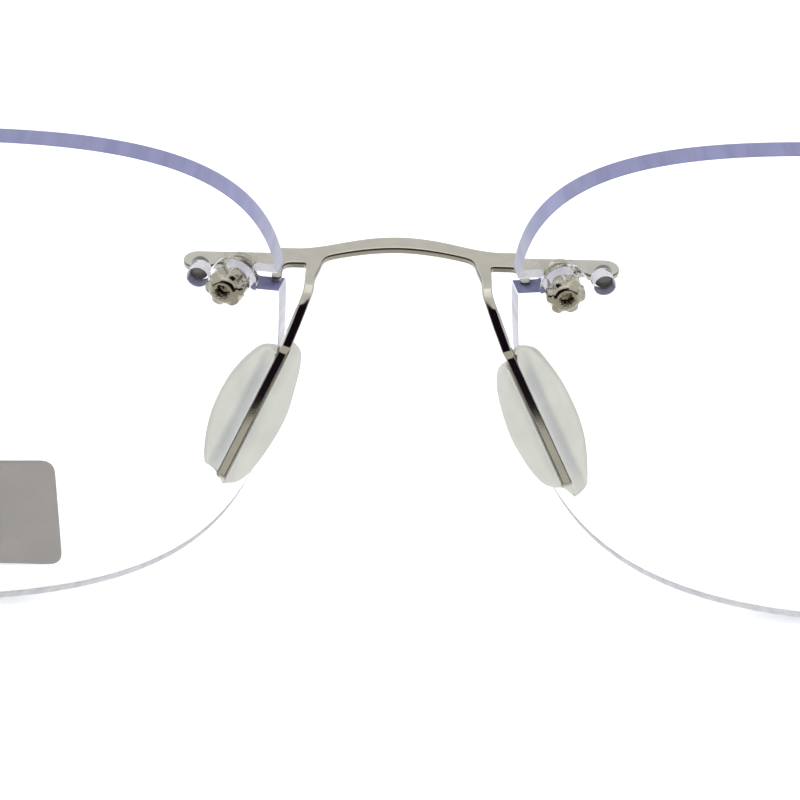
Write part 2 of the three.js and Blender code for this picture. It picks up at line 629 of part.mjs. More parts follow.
// ---- Temple: hinge-local, running back along -Y ----------------------------------------------------------------
// Place and direction at a distance along the temple: straight, then round the ear, then straight to its end.
function templePath(distance) {
  const bend = EAR_RADIUS * EAR_ANGLE;
  const turn = THREE.MathUtils.clamp((distance - TEMPLE_STRAIGHT) / EAR_RADIUS, 0, EAR_ANGLE);
  const straight = Math.min(distance, TEMPLE_STRAIGHT);
  const beyond = Math.max(0, distance - TEMPLE_STRAIGHT - bend);
  return {
    place: new THREE.Vector3(
      0,
      -straight - EAR_RADIUS * Math.sin(turn) - beyond * Math.cos(turn),
      -EAR_RADIUS * (1 - Math.cos(turn)) - beyond * Math.sin(turn)),
    across: new THREE.Vector3(0, -Math.sin(turn), Math.cos(turn)),
  };
}

// Bars along the temple are lofted from stations of [distance, thickness, height], with either of two sections:
// flat sides and sharp corners, or rounded sides and softened corners.
const square = [[1, 1], [-1, 1], [-1, -1], [1, -1]];
const roundedSection = Array.from({ length: 16 }, (_, i) => {
  const angle = ((i + 0.5) * Math.PI) / 8;
  return [Math.cos(angle), Math.sin(angle)].map((part) =>
    TIP_FULLNESS * Math.sign(part) * Math.abs(part) ** 0.55);
});

function templeBar(stations, section = square) {
  return loft(stations.map(([distance, thickness, height]) => {
    const { place, across } = templePath(distance);
    return section.map(([x, z]) =>
      place.clone().addScaledVector(across, (z * height) / 2).setX((x * thickness) / 2));
  }));
}

// Distances from one place on the temple to another, closer together round the ear.
function stops(from, to, size) {
  const bendEnd = TEMPLE_STRAIGHT + EAR_RADIUS * EAR_ANGLE;
  const list = [from];
  for (let i = 0; i <= EAR_STEPS; i += 1) {
    const place = THREE.MathUtils.lerp(TEMPLE_STRAIGHT, bendEnd, i / EAR_STEPS);
    if (place > from && place < to) {
      list.push(place);
    }
  }
  return [...list, to].map((distance) => [distance, ...size(distance)]);
}

function rightTemple() {
  const low = [TEMPLE_THICKNESS, 2 * BARREL_HALF];
  const full = [TEMPLE_THICKNESS, TEMPLE_HEIGHT];
  const barrel = rod(BARREL_RADIUS, -BARREL_HALF, BARREL_HALF).rotateX(Math.PI / 2);
  const leaf = templeBar([[TEMPLE_LEAF_START, ...low], [TEMPLE_LEAF_LENGTH, ...low]]);
  const bar = templeBar([
    [TEMPLE_LEAF_LENGTH - TEMPLE_LEAF_LAP, ...low],
    [TEMPLE_LEAF_LENGTH + TEMPLE_RISE, ...full],
    [TIP_START - CORE_CLEARANCE, ...full],
  ]);
  const core = templeBar(stops(TIP_START - CORE_LAP, CORE_END, () => [CORE_WIDTH, CORE_HEIGHT]));
  const bore = rod(PIN_BORE, -2 * BARREL_HALF, 2 * BARREL_HALF).rotateX(Math.PI / 2);
  return cut(join(barrel, leaf, bar, core), bore);
}

function templeTip() {
  const end = TEMPLE_STRAIGHT + EAR_RADIUS * EAR_ANGLE + EAR_END;
  const size = (distance) => {
    const t = THREE.MathUtils.clamp((distance - TIP_START) / (end - TIP_START), 0, 1);
    return [
      TIP_WIDTH * THREE.MathUtils.lerp(TIP_WIDTH_START, 1, t),
      TIP_HEIGHT * THREE.MathUtils.lerp(TIP_HEIGHT_START, 1, THREE.MathUtils.smoothstep(t, 0, 0.9)),
    ];
  };
  const round = TIP_ROUNDING.map((reach) => {
    const shrink = Math.sqrt(1 - reach ** 2);
    return [end + (reach * TIP_HEIGHT) / 2, TIP_WIDTH * Math.sqrt(shrink), TIP_HEIGHT * shrink];
  });
  const body = templeBar([...stops(TIP_START, end, size), ...round], roundedSection);
  const room = [CORE_WIDTH + 2 * CORE_CLEARANCE, CORE_HEIGHT + 2 * CORE_CLEARANCE];
  const hollow = templeBar(stops(TIP_START - CORE_LAP / 2, CORE_END + CORE_CLEARANCE, () => room));
  return cut(body, hollow);
}

// ---- Assembly -----------------------------------------------------------------------------------------------
function named(name, geometry, look) {
  const mesh = new THREE.Mesh(geometry, look);
  mesh.name = name;
  return mesh;
}

// Stud, sleeve and nut at one drilling, in lens-local axes.
function fastening(place, side, u) {
  const group = new THREE.Group();
  const position = lensPoint(u, DRILL_V, 0);
  const normal = lensNormal(u, DRILL_V);
  group.position.set(side * position.x, position.y, position.z);
  normal.x *= side;
  group.quaternion.setFromUnitVectors(new THREE.Vector3(0, 1, 0), normal);
  group.add(
    named(`${place}_stud`, stud(), turnedMetal()),
    named(`${place}_sleeve`, sleeve(), clearPlastic()),
    named(`${place}_nut`, starNut(), turnedMetal()),
  );
  return group;
}

function lensGroup(side, word) {
  const group = new THREE.Group();
  group.position.set(side * LENS_PLACE.x, LENS_PLACE.y, LENS_PLACE.z);
  group.rotation.copy(lensTurn(side));
  group.add(
    named(`lens_${word}`, onSide(side, rightLens()), lensClear()),
    fastening(`bridge_${word}`, side, NASAL_STUD_U),
    fastening(`endpiece_${word}`, side, TEMPORAL_STUD_U),
  );
  return group;
}

function hingeGroup(side, word) {
  const group = new THREE.Group();
  group.position.set(side * HINGE_X, HINGE_Y, HINGE_Z);
  group.add(
    named(`hinge_screw_${word}`, hingeScrew(), turnedMetal()),
    named(`hinge_washer_upper_${word}`, hingeWasher(1), nylon()),
    named(`hinge_washer_lower_${word}`, hingeWasher(-1), nylon()),
    named(`temple_${word}`, onSide(side, rightTemple()), sheetMetal()),
    named(`temple_tip_${word}`, onSide(side, templeTip()), tipPlastic()),
  );
  return group;
}

const NOSE_PADS = {
  right: pad(PAD_WIDE, PAD_NARROW),
  left: mirrored(pad(PAD_NARROW, PAD_WIDE)),
};

const frame = new THREE.Group();
frame.add(named('bridge', bridge(), sheetMetal()));
for (const [side, word] of [[1, 'right'], [-1, 'left']]) {
  frame.add(
    lensGroup(side, word),
    named(`nose_pad_${word}`, NOSE_PADS[word], silicone()),
    named(`endpiece_${word}`, onSide(side, rightEndpiece()), sheetMetal()),
    hingeGroup(side, word),
  );
}

// Set the glasses down on the table, over the middle of their own footprint.
const eyeglasses = new THREE.Group();
const extent = new THREE.Box3().setFromObject(frame, true);
frame.position.set(0, -(extent.min.y + extent.max.y) / 2, -extent.min.z);
eyeglasses.add(frame);
eyeglasses.updateMatrixWorld(true);

export default eyeglasses;
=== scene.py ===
# Rimless eyeglasses: fine meshes, materials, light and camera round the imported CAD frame.
# Shapes are worked out in millimetres from a datum on the top face of the bridge sheet, as the CAD is, and
# placed in metres in the row frame. A side of +1 is the wearer's right.
import json
import math

import bpy
from mathutils import Matrix, Vector
from mathutils.geometry import delaunay_2d_cdt


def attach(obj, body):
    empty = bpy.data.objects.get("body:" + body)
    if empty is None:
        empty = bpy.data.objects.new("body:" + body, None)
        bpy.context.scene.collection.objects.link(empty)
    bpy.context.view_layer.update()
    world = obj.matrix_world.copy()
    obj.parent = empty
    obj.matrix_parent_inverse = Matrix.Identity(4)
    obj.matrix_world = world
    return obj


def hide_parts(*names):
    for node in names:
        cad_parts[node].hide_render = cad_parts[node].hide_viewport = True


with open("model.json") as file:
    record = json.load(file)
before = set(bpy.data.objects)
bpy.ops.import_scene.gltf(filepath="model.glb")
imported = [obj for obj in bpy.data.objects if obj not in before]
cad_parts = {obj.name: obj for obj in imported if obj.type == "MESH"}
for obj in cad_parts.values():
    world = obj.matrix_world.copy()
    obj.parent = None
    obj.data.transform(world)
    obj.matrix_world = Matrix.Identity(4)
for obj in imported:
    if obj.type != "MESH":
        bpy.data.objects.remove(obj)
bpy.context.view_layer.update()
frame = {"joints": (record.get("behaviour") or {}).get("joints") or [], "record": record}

MM = 0.001
SIDES = ((1, "right"), (-1, "left"))

# ---- Dimensions ----
LENS_RADIUS = 115.0
LENS_THICKNESS = 1.8
LENS_TEMPORAL, LENS_BOTTOM = 26.6, 20.0
LENS_WRAP, LENS_TILT = math.radians(3), math.radians(8)
DRILL_V = 8.6
NASAL_STUD_U = -23.5
TEMPORAL_STUD_U, TEMPORAL_PEG_U = 22.3, 19.55
STUD_HOLE_RADIUS, PEG_HOLE_RADIUS = 0.8, 0.74
NOTCH_CUT, NOTCH_ABOVE = 1.95, 0.9  # in from the rim, and above the drilling height
NOTCH_BEYOND_U = 19.2  # the notches are in the sides of the outline, further out than this
# The two hands differ slightly: nasal stud and peg drillings (along the lens, above the drilling height), how
# far the notches reach below that height, where the plate of the bridge ends, and where its lug stands.
NASAL_DRILLS = {1: ((-23.5, 0.3), (-20.5, 0.1)), -1: ((-23.68, 0.3), (-20.93, 0.05))}
NOTCH_BELOW = {1: 0.2, -1: 0.45}
PLATE_END_X = {1: 15.68, -1: 15.3}
LUG_X = {1: 8.95, -1: 8.6}
SHEET = 0.55
STUD_BACK = Vector((11.6, -2.45, -0.1))  # back end of the nasal stud hole

PLATE_FRONT_Y, PLATE_STEP_X = 1.87, 7.4
ARCH_FRONT_Y, ARCH_REAR_Y = 3.65, 2.22
ARM_OUTER_X, ARM_INNER_X = 6.6, 5.55
RELIEF_Y = 0.22
LUG_WIDTH, LUG_END_Y = 0.66, -2.0
PEG_RADIUS, PEG_LENGTH = 0.64, 0.95
FOLD_Y = -2.3
STRIP_WIDTH = 0.68

BARREL_RADIUS, BARREL_HALF = 1.3, 0.8
WASHER, EAR, HINGE_GAP = 0.18, 0.75, 0.03
EAR_LOW = BARREL_HALF + WASHER + 2 * HINGE_GAP
PIN_RADIUS, PIN_BORE = 0.5, 0.56
SCREW_HEAD_RADIUS, SCREW_HEAD = 0.95, 0.4
ENDPIECE_HALF_WIDTH, ENDPIECE_INNER = 0.92, -4.1
WEB_THICKNESS = 1.2

TEMPLE_STRAIGHT, TEMPLE_THICKNESS, TEMPLE_HEIGHT = 98.0, 0.9, 2.2
EAR_RADIUS, EAR_ANGLE, EAR_END = 28.0, math.radians(45), 26.0
TIP_START, TIP_WIDTH, TIP_HEIGHT = 90.0, 2.3, 3.6

# ---- Frame places ----
# The bridge mount lies on the sheet's top face, this far in front of the datum.
MOUNT_Y = 3.0
mounts = {mount["name"]: Vector(mount["pos_m"]) for mount in frame["record"]["mounts"]}
DATUM = mounts["bridge_top"] / MM - Vector((0, MOUNT_Y, 0))
joints = {joint["name"]: Vector(joint["pos_m"]) for joint in frame["joints"]}
HINGE = joints["hinge_right"] / MM - DATUM


def row(point):
    """A point from the datum, in millimetres, as a point of the row frame in metres."""
    return (Vector(point) + DATUM) * MM


# ---- Mesh making ----
def signed_volume(points, faces):
    total = 0.0
    for face in faces:
        for i in range(1, len(face) - 1):
            total += points[face[0]].dot(points[face[i]].cross(points[face[i + 1]]))
    return total


def added(name, data):
    """A new object in the scene."""
    obj = bpy.data.objects.new(name, data)
    bpy.context.scene.collection.objects.link(obj)
    return obj


def piece(name, points, faces, materials, marks=None, sharp=math.radians(38), normals=None):
    """A closed mesh from datum millimetres, faces turned outwards, smooth but for edges sharper than an angle.
    normals, where given, are the true ones of the surface at each point."""
    placed = [row(p) for p in points]
    middle = sum(placed, Vector()) / len(placed)
    flip = signed_volume([p - middle for p in placed], faces) < 0
    mesh = bpy.data.meshes.new(name)
    mesh.from_pydata(placed, [], [face[::-1] if flip else face for face in faces])
    for material in materials:
        mesh.materials.append(material)
    mesh.polygons.foreach_set("use_smooth", [True] * len(mesh.polygons))
    if marks:
        mesh.polygons.foreach_set("material_index", marks)
    mesh.validate()
    if normals:
        mesh.normals_split_custom_set_from_vertices(normals)
    else:
        mesh.set_sharp_from_angle(angle=sharp)
    return added(name, mesh)


def belong(obj, body, slot, *nodes):
    """Rides a body and stands for CAD nodes; its slot argument is not used."""
    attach(obj, body)
    if nodes:
        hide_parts(*nodes)
    return obj


def bezier(p0, p1, p2, p3, steps):
    """Points of a cubic curve, without its last one."""
    p0, p1, p2, p3 = (Vector(p) for p in (p0, p1, p2, p3))
    pairs = ((1 - i / steps, i / steps) for i in range(steps))
    return [p0 * s**3 + p1 * 3 * s * s * t + p2 * 3 * s * t * t + p3 * t**3 for s, t in pairs]


def arc(centre, radius, start, end, steps):
    """Points of a circle's stretch in plan, both ends included, angles in degrees."""
    angles = (math.radians(start + (end - start) * i / steps) for i in range(steps + 1))
    return [Vector((centre[0] + radius * math.cos(a), centre[1] + radius * math.sin(a))) for a in angles]


def line(a, b, steps):
    """Points from a to b in plan, without b."""
    a, b = Vector(a), Vector(b)
    return [a.lerp(b, i / steps) for i in range(steps)]


def area(loop):
    return sum(p.x * q.y - q.x * p.y for p, q in zip(loop, loop[1:] + loop[:1])) / 2


def rounded(corners, radius, steps=5):
    """A polygon with its corners rounded: corners is a list of points, or (point, own radius)."""
    points = []
    count = len(corners)
    places = [Vector(c[0]) if isinstance(c[0], (tuple, Vector)) else Vector(c) for c in corners]
    radii = [c[1] if isinstance(c[0], (tuple, Vector)) else radius for c in corners]
    for i in range(count):
        before, here, after = places[i - 1], places[i], places[(i + 1) % count]
        back, on = (before - here), (after - here)
        reach = min(radii[i], back.length * 0.48, on.length * 0.48)
        start, end = here + back.normalized() * reach, here + on.normalized() * reach
        if radii[i] <= 0:
            points.append(here)
            continue
        for k in range(steps + 1):
            t = k / steps
            points.append(start * (1 - t) ** 2 + here * 2 * t * (1 - t) + end * t * t)
    return points


def inset(loop, distance):
    """The loop moved to its left by a distance."""
    moved = []
    for i, here in enumerate(loop):
        a = (here - loop[i - 1]).normalized()
        b = (loop[(i + 1) % len(loop)] - here).normalized()
        left_a, left_b = Vector((-a.y, a.x)), Vector((-b.y, b.x))
        moved.append(here + (left_a + left_b) * (distance / max(0.35, 1 + left_a.dot(left_b))))
    return moved


def inside(point, loop):
    found = False
    for p, q in zip(loop, loop[1:] + loop[:1]):
        if (p.y > point.y) != (q.y > point.y):
            if point.x < (q.x - p.x) * (point.y - p.y) / (q.y - p.y) + p.x:
                found = not found
    return found


def grid_points(loops, spacing, margin):
    """Evenly spread points inside the first loop and outside the others, clear of every edge."""
    outer = loops[0]
    low = Vector((min(p.x for p in outer), min(p.y for p in outer)))
    high = Vector((max(p.x for p in outer), max(p.y for p in outer)))
    edge = [p for loop in loops for p in loop]
    found = []
    step_y = spacing * math.sqrt(0.75)
    for j in range(int((high.y - low.y) / step_y) + 1):
        for i in range(int((high.x - low.x) / spacing) + 1):
            point = Vector((low.x + (i + 0.5 * (j % 2)) * spacing, low.y + j * step_y))
            if not inside(point, outer) or any(inside(point, hole) for hole in loops[1:]):
                continue
            if all((point - p).length > margin for p in edge):
                found.append(point)
    return found


INSIDE_WITH_HOLES = 2  # how the triangulation treats its outlines


def slab(name, loops, thickness, rounding, place, materials, extra=None, wall=None, steps=4):
    """A sheet cut to an outline and holes, with rounded edges, bent by place(x, y, depth below its top face).
    extra(face loops) gives points inside its faces; wall(loop, point, outward) the material of an edge face."""
    loops = [loop if (area(loop) > 0) == (i == 0) else loop[::-1] for i, loop in enumerate(loops)]
    face_loops = [inset(loop, rounding) for loop in loops]
    flat = [p for loop in face_loops for p in loop]
    edges = []
    start = 0
    for loop in face_loops:
        edges += [(start + i, start + (i + 1) % len(loop)) for i in range(len(loop))]
        start += len(loop)
    inner = extra(face_loops) if extra else []
    coords, _, triangles, origin, _, _ = delaunay_2d_cdt(
        [Vector(p) for p in flat + inner], edges, [], INSIDE_WITH_HOLES, 1e-6)
    index = {}
    for new, old in enumerate(origin):
        for o in old:
            index[o] = new
    points, faces, marks, normals = [], [], [], []
    reach = 0.02

    def upright(x, y, depth):
        """The direction out of the top face over a place on it."""
        along = place(x + reach, y, depth) - place(x - reach, y, depth)
        aside = place(x, y + reach, depth) - place(x, y - reach, depth)
        return along.cross(aside).normalized()

    handed = 1 if (place(0.0, 0.0, 0.0) - place(0.0, 0.0, reach)).dot(upright(0.0, 0.0, 0.0)) > 0 else -1
    for depth in (0.0, thickness):
        base = len(points)
        points += [place(p.x, p.y, depth) for p in coords]
        normals += [upright(p.x, p.y, depth) * (handed if depth == 0 else -handed) for p in coords]
        faces += [tuple(base + i for i in (t if depth == 0 else t[::-1])) for t in triangles]
        marks += [0] * len(triangles)
    start = 0
    for number, loop in enumerate(loops):
        count = len(loop)
        rims = [[index[start + i] for i in range(count)]]
        outwards = []
        for i, here in enumerate(loop):
            course = (here - loop[i - 1]).normalized() + (loop[(i + 1) % count] - here).normalized()
            outwards.append(Vector((course.y, -course.x)).normalized())
        profile = [(k, 1) for k in range(1, steps + 1)] + [(k, -1) for k in range(steps, 0, -1)]
        for k, half in profile:
            angle = math.pi / 2 * k / steps
            depth = rounding * (1 - math.cos(angle))
            depth = depth if half > 0 else thickness - depth
            ring = inset(loop, rounding * (1 - math.sin(angle)))
            rims.append([len(points) + i for i in range(count)])
            points += [place(p.x, p.y, depth) for p in ring]
            for p, out in zip(ring, outwards):
                over = upright(p.x, p.y, depth) * handed
                aside = (place(p.x + out.x * reach, p.y + out.y * reach, depth) - place(p.x, p.y, depth))
                aside = (aside - over * aside.dot(over)).normalized()
                normals.append(over * math.cos(angle) * half + aside * math.sin(angle))
        rims.append([len(coords) + index[start + i] for i in range(count)])
        looks = []
        for i in range(count):
            here, after = loop[i], loop[(i + 1) % count]
            outward = Vector((after.y - here.y, here.x - after.x)).normalized()
            looks.append(wall(number, (here + after) / 2, outward) if wall else 0)
        for upper, lower in zip(rims, rims[1:]):
            for i in range(count):
                j = (i + 1) % count
                faces.append((upper[i], lower[i], lower[j], upper[j]))
                marks.append(looks[i])
        start += count
    return piece(name, points, faces, materials, marks, normals=normals)


def skin(sections, closed_ends=True):
    """Points and faces of a skin through equal closed sections; the ends are fans round their middles."""
    count = len(sections[0])
    points = [p for section in sections for p in section]
    faces = []
    for i in range(len(sections) - 1):
        for j in range(count):
            a, b = i * count + j, i * count + (j + 1) % count
            faces.append((a, b, b + count, a + count))
    if closed_ends:
        for first, flipped in ((0, True), (len(points) - count, False)):
            hub = len(points)
            points.append(sum(points[first:first + count], Vector()) / count)
            for j in range(count):
                a, b = first + j, first + (j + 1) % count
                faces.append((hub, b, a) if flipped else (hub, a, b))
    return points, faces


def softened(profile, radius, steps=3):
    """A closed profile of (radius, height) with every corner off the axis rounded."""
    corners = [((r, y), 0 if r < 1e-6 else radius) for r, y in profile]
    return [(p.x, p.y) for p in rounded(corners, radius, steps)]


def turned(name, profile, axis_place, materials, segments=72, lobes=None, softness=0.07):
    """A turned piece: profile of (radius, height) along the axis, placed by axis_place(x, height, z)."""
    outline = softened(profile, softness)
    rings = []
    for r, y in outline:
        ring = []
        for j in range(segments):
            angle = 2 * math.pi * j / segments
            reach = r if lobes is None else lobes(r, y, angle)
            ring.append(axis_place(reach * math.cos(angle), y, reach * math.sin(angle)))
        rings.append(ring)
    hollow = all(r > 1e-6 for r, _ in outline)
    points, faces = skin(rings + [rings[0]] if hollow else rings, closed_ends=False)
    if hollow:
        last = len(points) - segments
        points = points[:last]
        faces = [tuple(i - last if i >= last else i for i in face) for face in faces]
    obj = piece(name, points, faces, materials, sharp=math.radians(50))
    if not hollow:
        weld = obj.modifiers.new("axis", "WELD")
        weld.merge_threshold = 1e-7
    return obj


def joined(name, objects):
    """Several pieces as one object."""
    first = objects[0]
    with bpy.context.temp_override(active_object=first, object=first, selected_objects=objects,
                                   selected_editable_objects=objects):
        bpy.ops.object.join()
    first.name = name
    first.data.name = name
    return first


def mirror(side, point):
    return Vector((side * point.x, point.y, point.z))


# ---- Materials ----
def preset(node, **values):
    """Sets constants on a node's own sockets."""
    for socket, value in values.items():
        node.inputs[socket.replace("_", " ")].default_value = value
    return node


class Look:
    """A Principled material, with constants set on its own sockets, and ways to add to it."""

    def __init__(self, name, **values):
        self.made = bpy.data.materials.new(name)
        self.made.use_nodes = True
        self.nodes, self.links = self.made.node_tree.nodes, self.made.node_tree.links
        self.shader = self.nodes["Principled BSDF"]
        preset(self.shader, **values)

    def node(self, kind, **values):
        return preset(self.nodes.new("ShaderNode" + kind), **values)

    def link(self, output, socket):
        self.links.new(output, socket)

    def surface(self, output):
        self.link(output, self.nodes["Material Output"].inputs["Surface"])

    def noise(self, scale, detail=3.0, stretch=(1, 1, 1)):
        """Noise over the object's own coordinates, scale in grains per metre."""
        where = self.node("TexCoord")
        turn = self.node("Mapping", Scale=stretch)
        grain = self.node("TexNoise", Scale=scale, Detail=detail, Roughness=0.55)
        self.link(where.outputs["Object"], turn.inputs["Vector"])
        self.link(turn.outputs["Vector"], grain.inputs["Vector"])
        return grain.outputs["Fac"]

    def between(self, axis, low, high):
        """How far an object coordinate has come from low to high."""
        where = self.node("TexCoord")
        split = self.node("SeparateXYZ")
        span = self.node("MapRange", From_Min=low, From_Max=high)
        self.link(where.outputs["Object"], split.inputs["Vector"])
        self.link(split.outputs[axis], span.inputs["Value"])
        return span.outputs["Result"]

    def ramp(self, value, *stops):
        """Colours against a value: stops are (position, (r, g, b))."""
        made = self.node("ValToRGB")
        band = made.color_ramp
        while len(band.elements) < len(stops):
            band.elements.new(0.5)
        for element, (position, color) in zip(band.elements, stops):
            element.position = position
            element.color = (*color, 1)
        self.link(value, made.inputs["Fac"])
        return made.outputs["Color"]

    def mixed(self, a, b, factor=None, amount=None, blend="MIX"):
        """Colour a blended with colour b, by a linked factor or a plain amount."""
        mix = self.node("Mix")
        mix.data_type = "RGBA"
        mix.blend_type = blend
        if factor is None:
            mix.inputs["Factor"].default_value = amount
        else:
            self.link(factor, mix.inputs["Factor"])
        self.link(a, mix.inputs["A"])
        self.link(b, mix.inputs["B"])
        return mix.outputs["Result"]

    def paint(self, color):
        self.link(color, self.shader.inputs["Base Color"])

    def mottle(self, scale, detail, low, high, reach=0.2):
        """Lets the base colour drift between two tones."""
        self.paint(self.ramp(self.noise(scale, detail), (0.5 - reach, low), (0.5 + reach, high)))

    def bump(self, scale, detail, strength, distance):
        """Adds a fine grain to the surface, distance in metres."""
        bump = self.node("Bump", Strength=strength, Distance=distance)
        self.link(self.noise(scale, detail), bump.inputs["Height"])
        self.link(bump.outputs["Normal"], self.shader.inputs["Normal"])

    def light_through(self):
        """Lets lamps and sky reach what is behind a clear piece."""
        path, clear, mix = self.node("LightPath"), self.node("BsdfTransparent"), self.node("MixShader")
        self.link(path.outputs["Is Shadow Ray"], mix.inputs["Fac"])
        self.link(self.shader.outputs["BSDF"], mix.inputs[1])
        self.link(clear.outputs["BSDF"], mix.inputs[2])
        self.surface(mix.outputs["Shader"])


def metal(name, light, dark, roughness, bump_strength):
    """Bare metal whose colour drifts between two tones, with a fine rolled or turned grain."""
    look = Look(name, Metallic=1.0, Roughness=roughness)
    look.mottle(600, 4.0, dark, light)
    look.bump(5000, 2.0, bump_strength, 0.00002)
    return look.made


def sheet_metal_look():
    """Satin rolled faces on top, polished below the plane of the sheet, where the pad arms are folded."""
    look = Look("bridge_sheet_metal_painted_reflection", Metallic=1.0)
    satin = look.between("Z", (DATUM.z - POLISHED_BELOW) * MM, (DATUM.z - SATIN_BELOW) * MM)
    look.link(look.ramp(satin, (0.0, (0.06,) * 3), (1.0, (0.34,) * 3)), look.shader.inputs["Roughness"])
    # Painted reflection: the cut edges of the flat sheet carry a painted dark band below their top corner,
    # standing in for the dark line a rounded edge reflects.
    edge = look.between("Z", (DATUM.z - SHEET) * MM, DATUM.z * MM)
    flat = look.between("Y", (DATUM.y + FOLD_Y) * MM, (DATUM.y + FOLD_Y + PAINTED_REFLECTION_FADE) * MM)
    tone = look.ramp(look.noise(900, 4.0), (0.3, (0.45, 0.43, 0.37)), (0.7, (0.50, 0.475, 0.41)))
    band = look.ramp(edge, (0.0, (1, 1, 1)), (0.60, (0.95, 0.95, 0.95)), (0.70, (0.10, 0.09, 0.09)),
                     (0.86, (0.07, 0.06, 0.07)), (0.93, (1, 1, 1)))
    look.paint(look.mixed(tone, band, factor=flat, blend="MULTIPLY"))
    look.bump(9000, 3.0, 0.12, 0.000012)
    return look.made


def clear_look(name, roughness, ior, haze, low, high):
    """Clear glass or plastic with a faint drift of tint."""
    look = Look(name, Roughness=roughness, IOR=ior, Transmission_Weight=1.0)
    look.mottle(haze, 2.0, low, high, reach=0.15)
    look.light_through()
    return look.made


def ground_look(name, low, high, painted_glow=0.0):
    """Finely ground lens edge: a soft surface between two tints; a painted glow, where given, stands in for the
    light a slightly translucent edge lets through.
    """
    look = Look(name, Roughness=0.55, Emission_Color=(1, 1, 1, 1), Emission_Strength=painted_glow)
    look.mottle(1400, 4.0, low, high)
    look.bump(12000, 2.0, 0.15, 0.00001)
    return look.made


def ground_rim_look():
    """The rim of the lens, with its tint as painted light by height: lilac towards the top, where it faces up,
    paler down the sides, near white along the bottom.
    """
    look = Look("lens_rim_ground_painted_light", Roughness=0.5)
    tone = look.ramp(look.between("Z", 0, (DATUM.z + RIM_RISE) * MM),
                     (0.0, (0.95, 0.95, 0.96)), (0.5, (0.93, 0.93, 0.95)), (0.72, (0.80, 0.80, 0.87)),
                     (0.79, (0.52, 0.52, 0.62)), (0.87, (0.34, 0.345, 0.53)), (0.96, (0.225, 0.23, 0.40)))
    streaks = look.ramp(look.noise(500, 5.0, (2.2, 0.25, 2.2)), (0.35, (0.55, 0.55, 0.62)), (0.6, (1, 1, 1)))
    look.paint(look.mixed(tone, streaks, amount=0.36, blend="MULTIPLY"))
    return look.made


def silicone_look():
    look = Look("pad_silicone", Roughness=0.42, Subsurface_Weight=0.35, Subsurface_Radius=(1.0, 1.0, 0.9),
                Subsurface_Scale=0.0006)
    cloud = look.noise(420, 3.0)
    body = look.ramp(cloud, (0.3, (0.63, 0.63, 0.565)), (0.7, (0.70, 0.70, 0.63)))
    # Painted shade: a cooler, darker tone mixed in by each point's stored shade along the valley beside the
    # channel.
    cool = look.ramp(cloud, (0.3, (0.40, 0.42, 0.46)), (0.7, (0.45, 0.47, 0.51)))
    valley = look.node("VertexColor")
    valley.layer_name = "shade"
    look.paint(look.mixed(body, cool, factor=look.ramp(
        valley.outputs["Color"], (0.0, (0, 0, 0)), (1.0, (0.55, 0.55, 0.55)))))
    look.bump(6000, 3.0, 0.10, 0.00002)
    return look.made


def plastic_look(name, low, high, roughness, transmission=0.0):
    look = Look(name, Roughness=roughness, Transmission_Weight=transmission)
    look.mottle(300, 3.0, low, high)
    look.bump(5000, 2.0, 0.08, 0.00002)
    return look.made


POLISHED_BELOW, SATIN_BELOW = 1.2, 0.1  # how far below the datum the metal is polished, and still satin
PAINTED_REFLECTION_FADE = 0.4  # how far in front of the fold the painted dark reflection band takes to appear
RIM_RISE = 10.1  # how far the lens rims reach above the datum

SHEET_METAL = sheet_metal_look()
TURNED_METAL = metal("turned_nickel", (0.45, 0.42, 0.335), (0.35, 0.325, 0.26), 0.12, 0.12)
# Painted shade: the bridge pegs' nickel is darkened far below the other metal to stand in for shade.
PEG_METAL_PAINTED_SHADE = metal("peg_nickel_painted_shade", (0.15, 0.14, 0.13), (0.10, 0.09, 0.085), 0.3, 0.2)
TEMPLE_METAL = metal("temple_nickel", (0.50, 0.475, 0.41), (0.44, 0.42, 0.36), 0.26, 0.12)
LENS_CLEAR = clear_look("lens_clear", 0.0, 1.5, 60, (0.985, 0.988, 0.995), (0.995, 0.996, 1.0))
RIM_GROUND_PAINTED_LIGHT = ground_rim_look()
# Painted light: the ground walls of the notches and holes take these tints by the way they face, blue and lilac
# facing up, near white with a painted glow facing down.
WALL_UP_PAINTED_LIGHT_BLUE = ground_look("lens_wall_facing_up_painted_light", (0.115, 0.12, 0.26), (0.19, 0.195, 0.34))
HOLE_UP_PAINTED_LIGHT_LILAC = ground_look("lens_hole_facing_up_painted_light", (0.34, 0.345, 0.50), (0.44, 0.445, 0.61))
WALL_DOWN_PAINTED_GLOW_WHITE = ground_look("lens_wall_facing_down_painted_glow", (0.93, 0.92, 0.95), (0.99, 0.98, 1.0), painted_glow=0.16)
SILICONE = silicone_look()
SLEEVE_CLEAR = clear_look("sleeve_clear", 0.03, 1.46, 900, (0.95, 0.955, 0.965), (0.985, 0.985, 0.99))
NYLON = plastic_look("washer_nylon", (0.72, 0.70, 0.66), (0.80, 0.78, 0.74), 0.45)
TIP_PLASTIC = plastic_look("tip_plastic", (0.78, 0.78, 0.74), (0.86, 0.86, 0.82), 0.3, 0.35)
LABEL_PAPER = plastic_look("label_film", (0.34, 0.31, 0.285), (0.40, 0.37, 0.335), 0.5)


# ---- Lenses ----
def lens_normal(u, v):
    return Vector((u, math.sqrt(LENS_RADIUS**2 - u * u - v * v), v)) / LENS_RADIUS


def lens_point(u, v, depth):
    """A point of the lens in its own axes, a given depth behind its front surface."""
    return lens_normal(u, v) * (LENS_RADIUS - depth) - Vector((0, LENS_RADIUS, 0))


LENS_TURN = Matrix.Rotation(-LENS_WRAP, 3, "Z") @ Matrix.Rotation(-LENS_TILT, 3, "X")
LENS_PLACE = STUD_BACK - LENS_TURN @ lens_point(NASAL_STUD_U, DRILL_V, LENS_THICKNESS)


